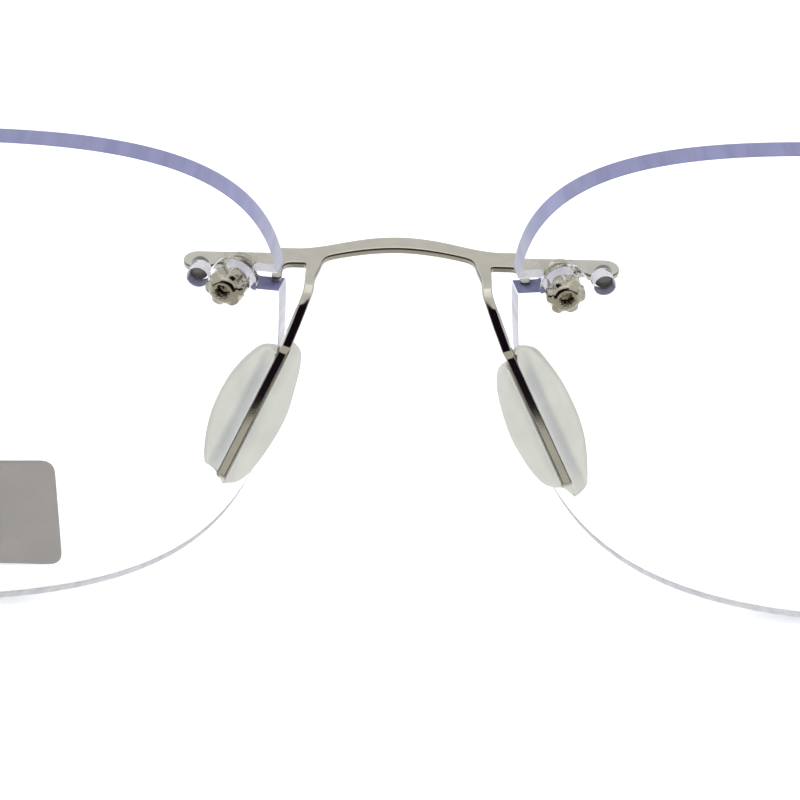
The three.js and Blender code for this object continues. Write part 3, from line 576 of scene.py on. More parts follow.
def from_lens(point):
    """A point in the axes of the right-hand lens as one from the datum."""
    return LENS_TURN @ point + LENS_PLACE


# Each lens is ground a little differently: the height of its top over the centre and how far along that stays
# flat, the handle above its nasal point, that point, the handle below it, and how far along the bottom is flat.
LENS_HAND = {1: (19.2, -16.0, (-27.05, 19.0), (-26.72, 8.2), (-26.25, -5.0), -22.6),
             -1: (18.85, -16.5, (-27.2, 18.5), (-26.8, 7.0), (-26.35, -6.0), -24.0)}


def lens_outline(side):
    steps = 60
    top, top_u, high_side, nasal, low_side, low_u = LENS_HAND[side]
    curve = (
        bezier((0, top), (top_u, top), high_side, nasal, steps)
        + bezier(nasal, low_side, (low_u, -LENS_BOTTOM), (2, -LENS_BOTTOM), steps)
        + bezier((2, -LENS_BOTTOM), (20, -LENS_BOTTOM), (LENS_TEMPORAL, -11), (LENS_TEMPORAL, 4.5), steps)
        + bezier((LENS_TEMPORAL, 4.5), (LENS_TEMPORAL, 17.5), (18, top), (0, top), steps)
    )
    low, high = DRILL_V - NOTCH_BELOW[side], DRILL_V + NOTCH_ABOVE
    points = []
    for before, here in zip(curve[-1:] + curve[:-1], curve):
        cut = low < here.y < high and abs(here.x) > NOTCH_BEYOND_U
        if not cut:
            points.append(here)
            continue
        if not low < before.y < high:
            edge = math.copysign(1, here.x)
            start, end = (high, low) if before.y > high else (low, high)
            deep = here.x - edge * NOTCH_CUT
            corners = rounded([Vector((here.x, start)), (Vector((deep, start)), 0.3),
                               (Vector((deep, end)), 0.3), Vector((here.x, end))], 0, 5)
            points += corners
    return points


def circle(x, y, radius, segments=44):
    return [Vector((x + radius * math.cos(2 * math.pi * i / segments),
                    y + radius * math.sin(2 * math.pi * i / segments))) for i in range(segments)]


def lens_wall(number, point, outward):
    """Ground rim, or for the walls of the notches and holes a material of painted light by the way they face:
    blue in the notches and lilac in the holes where they face up, glowing white where they face down.
    """
    notch = number == 0 and DRILL_V - NOTCH_BELOW[-1] - 0.01 < point.y < DRILL_V + NOTCH_ABOVE + 0.01
    if number == 0 and not notch:
        return 1
    if outward.y <= 0.2:
        return 3
    return 2 if notch else 4


def fine_lens(side, word):
    (stud_u, stud_rise), (peg_u, peg_rise) = NASAL_DRILLS[side]
    holes = [circle(u, DRILL_V + rise, radius) for u, rise, radius in (
        (stud_u, stud_rise, STUD_HOLE_RADIUS), (peg_u, peg_rise, PEG_HOLE_RADIUS),
        (TEMPORAL_STUD_U, 0, STUD_HOLE_RADIUS), (TEMPORAL_PEG_U, 0, PEG_HOLE_RADIUS))]
    obj = slab(
        f"fine_lens_{word}", [lens_outline(side), *holes], LENS_THICKNESS, 0.07,
        lambda u, v, depth: mirror(side, from_lens(lens_point(u, v, depth))),
        [LENS_CLEAR, RIM_GROUND_PAINTED_LIGHT, WALL_UP_PAINTED_LIGHT_BLUE, WALL_DOWN_PAINTED_GLOW_WHITE, HOLE_UP_PAINTED_LIGHT_LILAC],
        extra=lambda loops: grid_points(loops, 1.3, 0.7), wall=lens_wall, steps=3)
    belong(obj, "front", "lens", f"lens_{word}")


# ---- Studs, sleeves and nuts, along the stud axis from the front of the lens ----
FLANGE_RADIUS, FLANGE_GAP, FLANGE_THICKNESS = 1.15, 0.06, 0.55
STUD_RADIUS = 0.5
SLEEVE_OUTER, SLEEVE_INNER, SLEEVE_FLANGE_RADIUS, SLEEVE_FLANGE = 0.74, 0.58, 1.7, 0.45
NUT_RADIUS, NUT_LENGTH, NUT_BORE = 1.38, 1.38, 0.56
NUT_COLLAR_RADIUS, NUT_COLLAR = 0.92, 0.4
NUT_LEAN = Vector((-0.13, 0, 0.08))  # how the nasal nuts run askew, for each millimetre behind the lens
SEAT_GAP = 0.08
SLEEVE_BACK = -LENS_THICKNESS - SEAT_GAP - SLEEVE_FLANGE
NUT_FRONT = SLEEVE_BACK - SEAT_GAP
NUT_BACK = NUT_FRONT - NUT_LENGTH
NUT_LOBES = 6
NUT_GROOVE, NUT_GROOVE_SHARPNESS = 0.285, 2.2
NUT_SOCKET, SOCKET_LOBE = 0.48, 0.10


def star(r, y, angle):
    """Lobes on the wide part of a nut."""
    if r < NUT_SOCKET + 0.03 and y < NUT_BACK + 0.2:
        return r * (1 + SOCKET_LOBE * math.cos(NUT_LOBES * angle))
    if r < NUT_COLLAR_RADIUS + 0.15:
        return r
    groove = (0.5 - 0.5 * math.cos(NUT_LOBES * angle)) ** NUT_GROOVE_SHARPNESS
    return r - NUT_GROOVE * groove * (r - NUT_COLLAR_RADIUS) / (NUT_RADIUS - NUT_COLLAR_RADIUS)


def fastenings(side, word):
    nasal_u, nasal_rise = NASAL_DRILLS[side][0]
    for place, u, rise, lean in (("bridge", nasal_u, nasal_rise, NUT_LEAN),
                                 ("endpiece", TEMPORAL_STUD_U, 0, Vector())):
        axis = lens_normal(u, DRILL_V + rise)
        turn = Vector((0, 1, 0)).rotation_difference(axis).to_matrix()
        seat = lens_point(u, DRILL_V + rise, 0)

        def placed(x, y, z):
            behind = max(0.0, -LENS_THICKNESS - y)
            return mirror(side, from_lens(turn @ Vector((x, y, z)) + seat)) + lean * behind

        front = FLANGE_GAP + FLANGE_THICKNESS
        end = NUT_BACK + 0.3
        stud = turned(f"fine_{place}_{word}_stud", [
            (0, end), (STUD_RADIUS, end), (STUD_RADIUS, FLANGE_GAP),
            (FLANGE_RADIUS, FLANGE_GAP), (FLANGE_RADIUS, front), (0, front)], placed, [TURNED_METAL])
        belong(stud, "front", "turned_metal", f"{place}_{word}_stud")
        flange = -LENS_THICKNESS - SEAT_GAP
        sleeve = turned(f"fine_{place}_{word}_sleeve", [
            (SLEEVE_INNER, SLEEVE_BACK), (SLEEVE_FLANGE_RADIUS, SLEEVE_BACK), (SLEEVE_FLANGE_RADIUS, flange),
            (SLEEVE_OUTER, flange), (SLEEVE_OUTER, -SEAT_GAP), (SLEEVE_INNER, -SEAT_GAP)],
            placed, [SLEEVE_CLEAR])
        belong(sleeve, "front", "clear_plastic", f"{place}_{word}_sleeve")
        tail = NUT_BACK - NUT_COLLAR
        nut = turned(f"fine_{place}_{word}_nut", [
            (NUT_BORE, NUT_FRONT), (NUT_COLLAR_RADIUS + 0.1, NUT_FRONT),
            (NUT_COLLAR_RADIUS + 0.1, NUT_FRONT - 0.3), (NUT_RADIUS, NUT_FRONT - 0.3),
            (NUT_RADIUS, NUT_BACK - 0.05), (NUT_COLLAR_RADIUS + 0.12, NUT_BACK - 0.2),
            (NUT_COLLAR_RADIUS, tail + 0.08), (NUT_COLLAR_RADIUS - 0.18, tail), (NUT_SOCKET, tail),
            (NUT_SOCKET, NUT_BACK + 0.25), (NUT_BORE, NUT_BACK + 0.25)], placed, [TURNED_METAL],
            segments=144, lobes=star, softness=0.06)
        belong(nut, "front", "turned_metal", f"{place}_{word}_nut")


# ---- Bridge ----
STRIP_TOP, STRIP_BOTTOM = Vector((7.8, -4.8, -4.0)), Vector((12.77, -7.4, -14.1))
STRIP_FACE = Vector((-0.3, -0.8, 0.5))
ALONG = (STRIP_BOTTOM - STRIP_TOP).normalized()
ACROSS = STRIP_FACE.cross(ALONG).normalized()
OUT = ALONG.cross(ACROSS).normalized()
FOLD_INNER_X = ARM_INNER_X + 0.35  # the inner edge of an arm at the fold
ARM_MIDDLE_X = (ARM_OUTER_X + FOLD_INNER_X) / 2
ARM_PATH = [Vector(p) for p in (
    (ARM_MIDDLE_X, FOLD_Y, 0), (6.25, FOLD_Y - 0.55, -0.06), (6.35, -3.35, -0.4), (6.6, -3.80, -1.1),
    (6.9, -4.08, -1.85), (7.3, -4.41, -2.8), STRIP_TOP)]
KINK = 0.16  # how far the arm stands out from the plane of the strip below it
KINK_LENGTH = 0.6


def smooth(a, b, t):
    t = min(1.0, max(0.0, (t - a) / (b - a)))
    return t * t * (3 - 2 * t)


def catmull_point(a, b, c, d, t):
    """A point from b to c on the smooth path through all four."""
    return (b * 2 + (c - a) * t + (a * 2 - b * 5 + c * 4 - d) * t * t + (b * 3 - a - c * 3 + d) * t**3) / 2


def catmull(points, steps):
    """A smooth path through points, with its ends held straight."""
    ends = [points[0] * 2 - points[1]] + list(points) + [points[-1] * 2 - points[-2]]
    path = []
    for i in range(len(points) - 1):
        a, b, c, d = ends[i:i + 4]
        path += [catmull_point(a, b, c, d, k / steps) for k in range(steps)]
    return path + [points[-1]]


def arm_stations():
    """Stations down the folded arm: distance, place, and the directions across it and out of it."""
    path = catmull(ARM_PATH, 12)
    path += [STRIP_TOP.lerp(STRIP_BOTTOM, i / 40) for i in range(1, 41)]
    stations, distance = [], 0.0
    bend_length = sum((b - a).length for a, b in zip(path, path[1:]) if b.z > STRIP_TOP.z - 0.01)
    for i, here in enumerate(path):
        before, after = path[max(0, i - 1)], path[min(len(path) - 1, i + 1)]
        tangent = (after - before).normalized()
        distance += (here - before).length
        face = Vector((0, 0, 1)).lerp(OUT, smooth(0.0, 0.6, distance / bend_length))
        across = face.cross(tangent).normalized()
        out = tangent.cross(across).normalized()
        stand = KINK * smooth(0.3, 0.7, distance / bend_length)
        stand *= 1 - smooth(bend_length, bend_length + KINK_LENGTH, distance)
        stations.append((distance, here + out * stand, across, out))
    return stations


ARM = arm_stations()
ARM_LENGTH = ARM[-1][0]


def arm_place(w, distance, depth):
    for a, b in zip(ARM, ARM[1:]):
        if distance <= b[0] or b is ARM[-1]:
            t = (distance - a[0]) / max(b[0] - a[0], 1e-9)
            place, across, out = (x.lerp(y, t) for x, y in zip(a[1:], b[1:]))
            slope = (b[1] - a[1]).normalized()
            out = (out - slope * out.dot(slope)).normalized()
            return place + across.normalized() * w - out * depth


def bridge_place(x, y, depth):
    """A place on the folded sheet from one on the flat blank, where the arms run straight back."""
    side = 1 if x >= 0 else -1
    if y < FOLD_Y:
        return mirror(side, arm_place(abs(x) - ARM_MIDDLE_X, FOLD_Y - y, depth))
    return Vector((x, y, -depth))


def half_outline(side):
    """One half of the flat blank of the bridge, clockwise from the middle of its front edge."""
    end_radius = (PLATE_FRONT_Y + 0.13) / 2
    end = arc((PLATE_END_X[side] - end_radius, PLATE_FRONT_Y - end_radius), end_radius, 90, -90, 18)
    front = bezier((0, ARCH_FRONT_Y), (3.2, ARCH_FRONT_Y), (5, 1.95), (PLATE_STEP_X, PLATE_FRONT_Y), 26)
    lug_in, lug_out = LUG_X[side] - LUG_WIDTH / 2, LUG_X[side] + LUG_WIDTH / 2
    relief = rounded([
        ((STUD_BACK.x + 1.9, PLATE_FRONT_Y - 2 * end_radius), 0), ((STUD_BACK.x + 1.5, RELIEF_Y), 0.15),
        ((lug_out + 0.1, RELIEF_Y), 0.3), ((lug_out, LUG_END_Y), 0.3), ((lug_in, LUG_END_Y), 0.3),
        ((lug_in, 0.0), 0.7), ((ARM_OUTER_X, 0.0), 0.25), ((ARM_OUTER_X, FOLD_Y), 0)], 0, 5)
    half_strip = STRIP_WIDTH / 2
    steps = int(ARM_LENGTH / 0.14)
    outer_side, inner_side = [], []
    for i in range(1, steps + 1):
        distance = (ARM_LENGTH - half_strip) * i / steps
        outer_side.append(Vector((ARM_MIDDLE_X + half_strip, FOLD_Y - distance)))
        inner_side.append(Vector((ARM_MIDDLE_X - half_strip, FOLD_Y - distance)))
    tip = arc((ARM_MIDDLE_X, FOLD_Y - ARM_LENGTH + half_strip), half_strip, 0, -180, 8)[1:-1]
    inner = (bezier((FOLD_INNER_X, FOLD_Y), (5.95, -1.6), (5.62, -0.7), (5.55, -0.15), 12)
             + bezier((5.55, -0.15), (5.45, 0.75), (5.15, 0.98), (4.7, 1.18), 10)
             + bezier((4.7, 1.18), (3.3, 1.75), (1.6, ARCH_REAR_Y), (0, ARCH_REAR_Y), 24))
    return front + end + relief + outer_side + tip + inner_side[::-1] + inner + [Vector((0, ARCH_REAR_Y))]


def bridge_outline():
    other = [Vector((-p.x, p.y)) for p in half_outline(-1)[1:-1]][::-1]
    return half_outline(1) + other


def fine_bridge():
    sheet = slab("fine_bridge", [bridge_outline()], SHEET, 0.10, bridge_place, [SHEET_METAL], steps=6)
    parts = [sheet]
    for side, word in SIDES:
        peg_u, rise = NASAL_DRILLS[side][1]
        peg_x = from_lens(lens_point(peg_u, DRILL_V, LENS_THICKNESS / 2)).x
        parts.append(turned(
            f"peg_{word}", [(0, -PEG_LENGTH), (PEG_RADIUS, -PEG_LENGTH), (PEG_RADIUS, 0.4), (0, 0.4)],
            lambda x, y, z: mirror(side, Vector((x + peg_x, y, z + STUD_BACK.z + rise - 0.1))),
            [PEG_METAL_PAINTED_SHADE], 32))
    belong(joined("fine_bridge", parts), "front", "sheet_metal", "bridge")


# ---- Nose pads ----
# Outlines in (along, across), from the wide wing's lower end round its side, over the top and down the
# narrow wing.
# The two pads are the same moulding, not mirrored, so the wide wing is on the wearer's right of both.
PAD_OUTLINES = {
    1: ([(12.5, 0.1), (12.1, 1.17), (10.78, 1.81), (8.82, 2.44), (7.12, 2.73), (5.44, 2.79), (3.62, 2.69),
         (2.17, 2.42), (0.72, 2.02), (0.16, 1.44), (-0.13, 0.64)],
        [(0.68, -0.31), (0.91, -1.03), (1.35, -1.45), (2.52, -1.95), (4.34, -2.34), (6.51, -2.55), (8.4, -2.4),
         (9.93, -2.08), (10.9, -1.61), (11.41, -0.79), (11.5, -0.36)]),
    -1: ([(11.82, 0.33), (11.66, 0.87), (11.24, 1.46), (10.42, 1.89), (8.53, 2.3), (6.52, 2.49), (4.72, 2.45),
          (2.46, 2.02), (1.05, 1.67), (0.02, 1.26), (-0.4, 0.66), (-0.52, 0.14)],
         [(0.2, -0.42), (0.28, -0.85), (0.73, -1.66), (1.99, -2.26), (3.66, -2.68), (5.32, -2.79),
          (7.15, -2.67), (8.92, -2.28), (10.47, -1.71), (10.85, -1.3), (11.06, -0.45)]),
}
PAD_SHIFT = Vector((0.2, -0.1))  # along and across: outlines lie on the rim, below the face of the strip
PAD_SLIMMER = 0.05
PAD_DEEP = 1.0
ALONG_END = 11.2  # where the channel runs out at the lower end
CHANNEL = STRIP_WIDTH / 2 + 0.03


def pad_outline(side):
    wide, narrow = PAD_OUTLINES[side]
    corners = [Vector((s, w * side)) + PAD_SHIFT for s, w in wide + narrow]
    fine = []
    count = len(corners)
    for i in range(count):
        a, b, c, d = (corners[(i + k) % count] for k in (-1, 0, 1, 2))
        if i in (count - 1, len(wide) - 1):
            fine += line(b, c, 4)
            continue
        if i in (0, len(wide)):
            a = b * 2 - c
        if i in (count - 2, len(wide) - 2):
            d = c * 2 - b
        fine += [catmull_point(a, b, c, d, k / 6) for k in range(6)]
    fine = fine if area(fine) > 0 else fine[::-1]
    return inset(fine, PAD_SLIMMER)


def pad_top(s, w):
    """Height of a pad's rear face above the face of its strip; across is positive on the side of the lens."""
    reach = abs(w)
    if reach < CHANNEL + 0.02 and 0.3 < s < ALONG_END:
        return -SHEET - 0.05
    ends = -0.35 * (1 - smooth(-0.2, 1.6, s)) - 0.22 * smooth(10.4, 12.6, s)
    lip = 0.20 * (1 - smooth(CHANNEL + 0.06, 0.62, reach))
    if w > 0:
        valley = -0.30 * math.exp(-((reach - 0.95) / 0.36) ** 2)
        wing = 0.10 - 0.50 * smooth(0.9, 3.0, reach) - 0.10 * (reach / 2.8) ** 4
    else:
        valley = -0.06 * math.exp(-((reach - 0.75) / 0.25) ** 2)
        wing = 0.10 - 0.42 * smooth(0.6, 3.0, reach) - 0.10 * (reach / 2.8) ** 4
    return wing + lip + valley + ends


def pad_bottom(s, w):
    return -SHEET - 0.25 - 0.55 * (1 - 0.6 * (w / 2.7) ** 2) * max(0.25, 1 - ((s - 6) / 7.2) ** 2)


def pad_shade(obj, side):
    """Stores how deep each point lies in the valley beside the channel, as painted shade that the silicone's
    cooler, darker tone follows.
    """
    layer = obj.data.color_attributes.new("shade", "FLOAT_COLOR", "POINT")
    for vertex, stored in zip(obj.data.vertices, layer.data):
        local = mirror(side, vertex.co / MM - DATUM) - STRIP_TOP
        w, s = local.dot(ACROSS), local.dot(ALONG)
        depth = math.exp(-((w - 0.78) / 0.42) ** 2) if w > 0 else 0.25 * math.exp(-((w + 0.55) / 0.2) ** 2)
        depth *= smooth(0.6, 2.6, s) * (1 - smooth(9.4, 11.8, s))
        stored.color = (depth, depth, depth, 1)


def pad_inner(loops):
    """Points inside a pad's faces, in rows along the strip."""
    rows = [0.0, CHANNEL - 0.06, CHANNEL, CHANNEL + 0.03, CHANNEL + 0.08, 0.52, 0.62, 0.75, 0.9, 1.06, 1.25]
    rows += [1.5 + 0.25 * i for i in range(6)]
    found = []
    for w in sorted({sign * w for w in rows for sign in (1, -1)}):
        for i in range(48):
            point = Vector((-0.2 + 0.27 * i, w))
            if inside(point, loops[0]) and all((point - p).length > 0.12 for p in loops[0]):
                found.append(point)
    return found


def fine_pad(side, word):
    def place(s, w, depth):
        part = depth / PAD_DEEP
        n = pad_top(s, w) * (1 - part) + pad_bottom(s, w) * part
        return mirror(side, STRIP_TOP + ALONG * s + ACROSS * w + OUT * n)

    obj = slab(f"fine_nose_pad_{word}", [pad_outline(side)], PAD_DEEP, 0.3, place, [SILICONE],
               extra=pad_inner, steps=5)
    pad_shade(obj, side)
    belong(obj, "front", "silicone", f"nose_pad_{word}")


# ---- Endpieces ----
STUD_FRONT = from_lens(lens_point(TEMPORAL_STUD_U, DRILL_V, 0))
OUTER_AXIS = LENS_TURN @ lens_normal(TEMPORAL_STUD_U, DRILL_V)
OUTER_AXIS = Vector((OUTER_AXIS.x, OUTER_AXIS.y, 0)).normalized()
OUTER_SIDE = Vector((OUTER_AXIS.y, -OUTER_AXIS.x, 0))
PLATE_MIDDLE = FLANGE_GAP + FLANGE_THICKNESS + 0.12 + ENDPIECE_HALF_WIDTH


def beside_stud(along, forwards):
    return (STUD_FRONT + OUTER_SIDE * along + OUTER_AXIS * forwards).to_2d()


def endpiece_outline():
    route = catmull([
        beside_stud(ENDPIECE_INNER + ENDPIECE_HALF_WIDTH, PLATE_MIDDLE), beside_stud(0, PLATE_MIDDLE),
        beside_stud(4.6, PLATE_MIDDLE - 0.1), Vector((HINGE.x - 1.1, HINGE.y + 6.6)),
        Vector((HINGE.x, HINGE.y + BARREL_RADIUS + WEB_THICKNESS))], 14)
    left, right = [], []
    for i, here in enumerate(route):
        tangent = (route[min(i + 1, len(route) - 1)] - route[max(i - 1, 0)]).normalized()
        aside = Vector((-tangent.y, tangent.x)) * ENDPIECE_HALF_WIDTH
        left.append(here + aside)
        right.append(here - aside)
    tangent = route[1] - route[0]
    back = math.degrees(math.atan2(-tangent.y, -tangent.x))
    cap = arc(route[0], ENDPIECE_HALF_WIDTH, back + 90, back - 90, 16)[1:-1]
    return right[::-1] + cap + left


def fine_endpiece(side, word):
    def flat(top):
        return lambda x, y, depth: mirror(side, Vector((x, y, top - depth)))

    hinge = HINGE.to_2d()
    sheet = slab(f"plate_{word}", [endpiece_outline()], SHEET, 0.07, flat(0), [SHEET_METAL])
    direction = Vector((OUTER_AXIS.x, OUTER_AXIS.y))
    aside = Vector((direction.y, -direction.x)) * (LUG_WIDTH / 2)
    base, tip = beside_stud(3.1, PLATE_MIDDLE), beside_stud(3.1, PLATE_MIDDLE - 3.4)
    lug = slab(f"lug_{word}", [rounded([base - aside, base + aside, tip + aside, tip - aside], 0.25)],
               SHEET, 0.07, flat(0), [SHEET_METAL])
    peg_place = beside_stud(TEMPORAL_PEG_U - TEMPORAL_STUD_U, 0.3)
    turn = Matrix.Rotation(math.atan2(-OUTER_AXIS.x, OUTER_AXIS.y), 3, "Z")
    peg = turned(
        f"peg_{word}", [(0, -PEG_LENGTH), (PEG_RADIUS, -PEG_LENGTH), (PEG_RADIUS, 0.6), (0, 0.6)],
        lambda x, y, z: mirror(side, turn @ Vector((x, y, z)) + Vector((*peg_place, HINGE.z))),
        [SHEET_METAL], 32)
    forward = BARREL_RADIUS + WEB_THICKNESS

    def corner(sign, y):
        return hinge + Vector((sign * BARREL_RADIUS, y))

    ear_outline = arc(hinge, BARREL_RADIUS, 180, 360, 28) + [corner(1, forward), corner(-1, forward)]
    bore = circle(hinge.x, hinge.y, PIN_BORE)
    parts = [sheet, lug, peg]
    for bottom in (EAR_LOW, -EAR_LOW - EAR):
        parts.append(slab(f"ear_{word}", [ear_outline, bore], EAR, 0.1, flat(HINGE.z + bottom + EAR),
                          [SHEET_METAL]))
    web_back = BARREL_RADIUS + 0.1
    web = rounded([corner(-1, web_back), corner(1, web_back), corner(1, forward), corner(-1, forward)], 0.05)
    height = 2 * (EAR_LOW + EAR)
    parts.append(slab(f"web_{word}", [web], height - 0.02, 0.08, flat(HINGE.z + height / 2 - 0.01),
                      [SHEET_METAL]))
    belong(joined(f"fine_endpiece_{word}", parts), "front", "sheet_metal", f"endpiece_{word}")


# ---- Hinge screws and washers ----
def about_hinge(side, flip=1):
    return lambda x, y, z: mirror(side, HINGE + Vector((x, z * -flip, y * flip)))


def hinge_hardware(side, word):
    top = EAR_LOW + EAR + HINGE_GAP
    screw = turned(f"pin_{word}", [
        (0, -EAR_LOW - EAR), (PIN_RADIUS, -EAR_LOW - EAR), (PIN_RADIUS, top), (SCREW_HEAD_RADIUS, top),
        (SCREW_HEAD_RADIUS, top + SCREW_HEAD * 0.6), (0, top + SCREW_HEAD * 0.6)],
        about_hinge(side), [TURNED_METAL])
    parts = [screw]
    slot_half, crown = 0.125, top + SCREW_HEAD
    for sign in (1, -1):
        start = math.degrees(math.asin(slot_half / SCREW_HEAD_RADIUS))
        half = arc((0, 0), SCREW_HEAD_RADIUS, start, 180 - start, 24)
        outline = [Vector((HINGE.x + p.x, HINGE.y + sign * p.y)) for p in half]
        parts.append(slab(
            f"crown_{word}", [outline], SCREW_HEAD * 0.5, 0.06,
            lambda x, y, depth: mirror(side, Vector((x, y, HINGE.z + crown - depth))), [TURNED_METAL]))
    belong(joined(f"fine_hinge_screw_{word}", parts), "front", "turned_metal", f"hinge_screw_{word}")
    for place, flip in (("upper", 1), ("lower", -1)):
        low, high = BARREL_HALF + HINGE_GAP, EAR_LOW - HINGE_GAP
        washer = turned(f"fine_hinge_washer_{place}_{word}", [
            (PIN_BORE, low), (BARREL_RADIUS - 0.1, low), (BARREL_RADIUS - 0.1, high), (PIN_BORE, high)],
            about_hinge(side, flip), [NYLON], softness=0.03)
        belong(washer, "front", "nylon", f"hinge_washer_{place}_{word}")


# ---- Temples ----
def temple_path(distance):
    """Place and upward direction at a distance along the temple, from the hinge."""
    turn = min(max((distance - TEMPLE_STRAIGHT) / EAR_RADIUS, 0), EAR_ANGLE)
    straight = min(distance, TEMPLE_STRAIGHT)
    beyond = max(0, distance - TEMPLE_STRAIGHT - EAR_RADIUS * EAR_ANGLE)
    place = Vector((0, -straight - EAR_RADIUS * math.sin(turn) - beyond * math.cos(turn),
                    -EAR_RADIUS * (1 - math.cos(turn)) - beyond * math.sin(turn)))
    return place, Vector((0, -math.sin(turn), math.cos(turn)))


def temple_bar(name, side, stations, squareness, materials, segments=40):
    """A bar along the temple: stations of (distance, thickness, height); squareness 1 is an ellipse."""
    sections = []
    for distance, thickness, height in stations:
        place, up = temple_path(distance)
        section = []
        for i in range(segments):
            angle = 2 * math.pi * (i + 0.5) / segments
            c, s = math.cos(angle), math.sin(angle)
            x = math.copysign(abs(c) ** squareness, c) * thickness / 2
            z = math.copysign(abs(s) ** squareness, s) * height / 2
            section.append(mirror(side, HINGE + place + up * z + Vector((x, 0, 0))))
        sections.append(section)
    points, faces = skin(sections)
    return piece(name, points, faces, materials, sharp=math.radians(50))


def stretches(start, end, step, size):
    count = max(1, round((end - start) / step))
    places = [start + (end - start) * i / count for i in range(count + 1)]
    return [(place, *size(place)) for place in places]


def fine_temple(side, word):
    low = 2 * BARREL_HALF

    def size(distance):
        grow = smooth(3.2, 5.6, distance)
        return TEMPLE_THICKNESS, low + (TEMPLE_HEIGHT - low) * grow

    barrel = turned(f"barrel_{word}", [
        (PIN_BORE, -BARREL_HALF), (BARREL_RADIUS, -BARREL_HALF), (BARREL_RADIUS, BARREL_HALF),
        (PIN_BORE, BARREL_HALF)], about_hinge(side), [TEMPLE_METAL])
    lengths = stretches(0.75, 9, 0.4, size) + stretches(10, TIP_START + 4, 2.5, size)
    bar = temple_bar(f"bar_{word}", side, lengths, 0.3, [TEMPLE_METAL])
    core = temple_bar(f"core_{word}", side, stretches(TIP_START + 3, 121.5, 1.2, lambda d: (0.78, 1.45)),
                      0.4, [TEMPLE_METAL])
    whole = joined(f"fine_temple_{word}", [barrel, bar, core])
    belong(whole, f"temple_{word}", "sheet_metal", f"temple_{word}")


def fine_tip(side, word):
    end = TEMPLE_STRAIGHT + EAR_RADIUS * EAR_ANGLE + EAR_END

    def size(distance):
        t = min(max((distance - TIP_START) / (end - TIP_START), 0), 1)
        swell = 0.72 + 0.28 * smooth(0, 0.9, t)
        return TIP_WIDTH * (0.85 + 0.15 * t), TIP_HEIGHT * swell

    width, height = size(TIP_START)
    stations = [(TIP_START + 0.25 * (1 - math.cos(a)), width * (0.72 + 0.28 * math.sin(a)),
                 height * (0.8 + 0.2 * math.sin(a))) for a in (math.pi / 2 * i / 6 for i in range(6))]
    stations += stretches(TIP_START + 0.3, end, 1.0, size)
    width, height = size(end)
    for i in range(1, 13):
        a = math.pi / 2 * i / 12
        shrink = max(math.cos(a), 0.02)
        stations.append((end + math.sin(a) * height * 0.485, width * shrink ** 0.5, height * shrink))
    tip = temple_bar(f"fine_temple_tip_{word}", side, stations, 0.72, [TIP_PLASTIC])
    belong(tip, f"temple_{word}", "tip_plastic", f"temple_tip_{word}")


# ---- Blank label on the front of the left-hand lens ----
LABEL_FROM, LABEL_TO = (-8.75, -17.25), (8.6, -8.25)  # its lower nasal and upper temporal corners on the lens


def fine_label():
    (u0, v0), (u1, v1) = LABEL_FROM, LABEL_TO
    outline = rounded([(u0, v0), (u1, v0), (u1, v1), (u0, v1)], 1.1, 8)
    label = slab("label_left", [outline], 0.06, 0.02,
                 lambda u, v, depth: mirror(-1, from_lens(lens_point(u, v, depth - 0.08))), [LABEL_PAPER],
                 extra=lambda loops: grid_points(loops, 0.9, 0.5), steps=2)
    belong(label, "front", "lens")


for side, word in SIDES:
    fine_lens(side, word)
    fastenings(side, word)
    fine_pad(side, word)
    fine_endpiece(side, word)
    hinge_hardware(side, word)
    fine_temple(side, word)
    fine_tip(side, word)
fine_bridge()
fine_label()


# ---- Stage ----
def card(name, centre, size, rotation, strength, color=(1, 1, 1), seen_by=("glossy",)):
    """A flat staged card that only some rays meet."""
    bpy.ops.mesh.primitive_plane_add(size=1, location=centre, rotation=rotation)
    obj = bpy.context.object
    obj.name = name
    obj.scale = (*size, 1)
    look = Look(name)
    look.nodes.remove(look.shader)
    look.surface(look.node("Emission", Color=(*color, 1), Strength=strength).outputs["Emission"])
    obj.data.materials.append(look.made)
    for ray in ("camera", "diffuse", "glossy", "transmission", "volume_scatter", "shadow"):
        setattr(obj, f"visible_{ray}", ray in seen_by)


TABLE_GLOW = 0.30

bpy.ops.mesh.primitive_circle_add(vertices=96, radius=2.5, fill_type="NGON", location=(0, 0, -0.00002))
floor = bpy.context.object
floor.name = "floor"
table = Look("white_floor", Roughness=0.9, Emission_Color=(1, 1, 1, 1))
table.mottle(3, 2.0, (0.90, 0.905, 0.925), (0.92, 0.925, 0.94))
# The floor is a light table to the camera, straight on and through the lenses, and plain paper to the pieces.
path, either, table_glow = table.node("LightPath"), table.node("Math"), table.node("Math")
either.operation, table_glow.operation = "MAXIMUM", "MULTIPLY"
table_glow.inputs[1].default_value = TABLE_GLOW
table.link(path.outputs["Is Camera Ray"], either.inputs[0])
table.link(path.outputs["Is Transmission Ray"], either.inputs[1])
table.link(either.outputs["Value"], table_glow.inputs[0])
table.link(table_glow.outputs["Value"], table.shader.inputs["Emission Strength"])
floor.data.materials.append(table.made)

world = bpy.data.worlds.new("studio")
bpy.context.scene.world = world
world.use_nodes = True
preset(world.node_tree.nodes["Background"], Color=(0.97, 0.98, 1.0, 1), Strength=1.0)

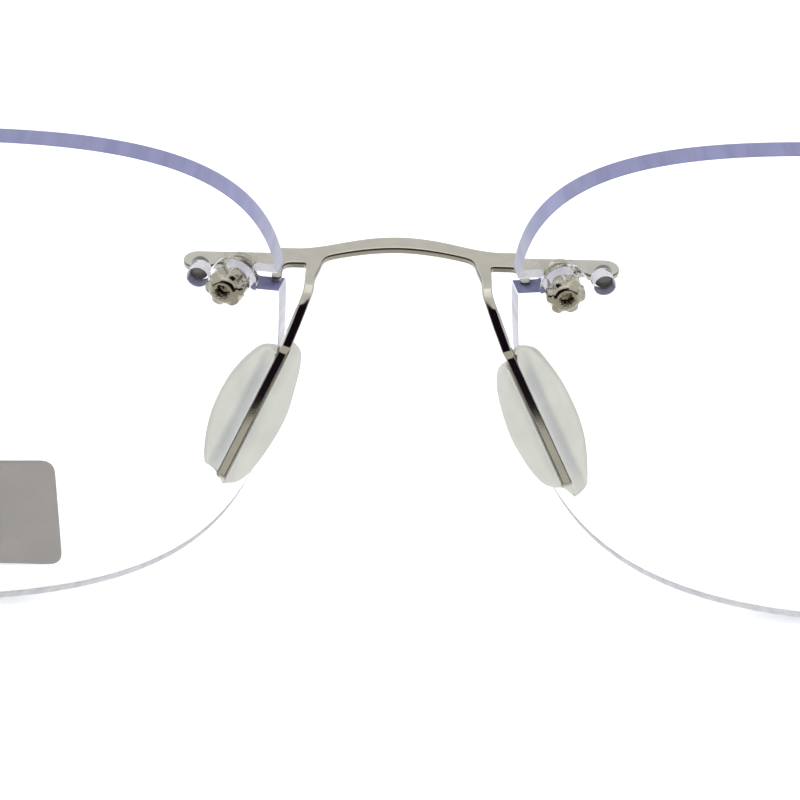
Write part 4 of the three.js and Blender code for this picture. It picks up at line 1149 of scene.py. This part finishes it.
card("grey_table", (0, 0.03, 0.0005), (0.10, 0.06), (0, 0, 0), 0.74, (1, 0.99, 0.93))
card("dark_table", (0, -0.2935, 0.0006), (0.5, 0.60), (0, 0, 0), 0.012, (1, 0.6, 1.2))
card("bright_ceiling", (0, -0.10, 0.50), (0.6, 0.36), (0, 0, 0), 1.5, (1, 1, 0.97))
card("dark_room", (0, -0.45, 0.14), (0.6, 0.28), (math.radians(90), 0, 0), 0.012, (1, 0.6, 1.2))


def soft_light(name, place, aim, size, power, color=(1, 1, 1)):
    data = bpy.data.lights.new(name, "AREA")
    data.shape = "SQUARE"
    data.size = size
    data.energy = power
    data.color = color
    obj = added(name, data)
    obj.location = place
    obj.rotation_euler = (Vector(aim) - Vector(place)).to_track_quat("-Z", "Y").to_euler()


MIDDLE = (0, 0.06, 0.02)
soft_light("overhead", (0.1, 0.05, 0.75), MIDDLE, 0.5, 0.9)
soft_light("front_fill", (-0.5, 0.75, 0.45), MIDDLE, 0.5, 0.5, (0.93, 0.96, 1.0))

# ---- Camera ----
CAMERA_PLACE = (0.53, -101.19, 65.23)  # from the datum
CAMERA_YAW, CAMERA_DOWN, CAMERA_ROLL = (math.radians(a) for a in (0.129, 37.429, 1.247))
camera_data = bpy.data.cameras.new("photo_camera")
camera_data.lens = 75.6
camera_data.sensor_width = 36
camera_data.clip_start, camera_data.clip_end = 0.005, 20
camera_data.dof.use_dof = False
camera = added("photo_camera", camera_data)
forward = Vector((-math.sin(CAMERA_YAW) * math.cos(CAMERA_DOWN), math.cos(CAMERA_YAW) * math.cos(CAMERA_DOWN),
                  -math.sin(CAMERA_DOWN)))
level = Vector((math.cos(CAMERA_YAW), math.sin(CAMERA_YAW), 0))
above = level.cross(forward)
right = level * math.cos(CAMERA_ROLL) + above * math.sin(CAMERA_ROLL)
up = above * math.cos(CAMERA_ROLL) - level * math.sin(CAMERA_ROLL)
turn = Matrix((right, up, -forward)).transposed().to_4x4()
camera.matrix_world = Matrix.Translation(row(CAMERA_PLACE)) @ turn
scene = bpy.context.scene
scene.camera = camera
scene.view_settings.view_transform = "Standard"
scene.view_settings.look = "None"
scene.view_settings.exposure = 0.0
scene.cycles.max_bounces = 24
scene.cycles.transmission_bounces = 20
scene.cycles.transparent_max_bounces = 24
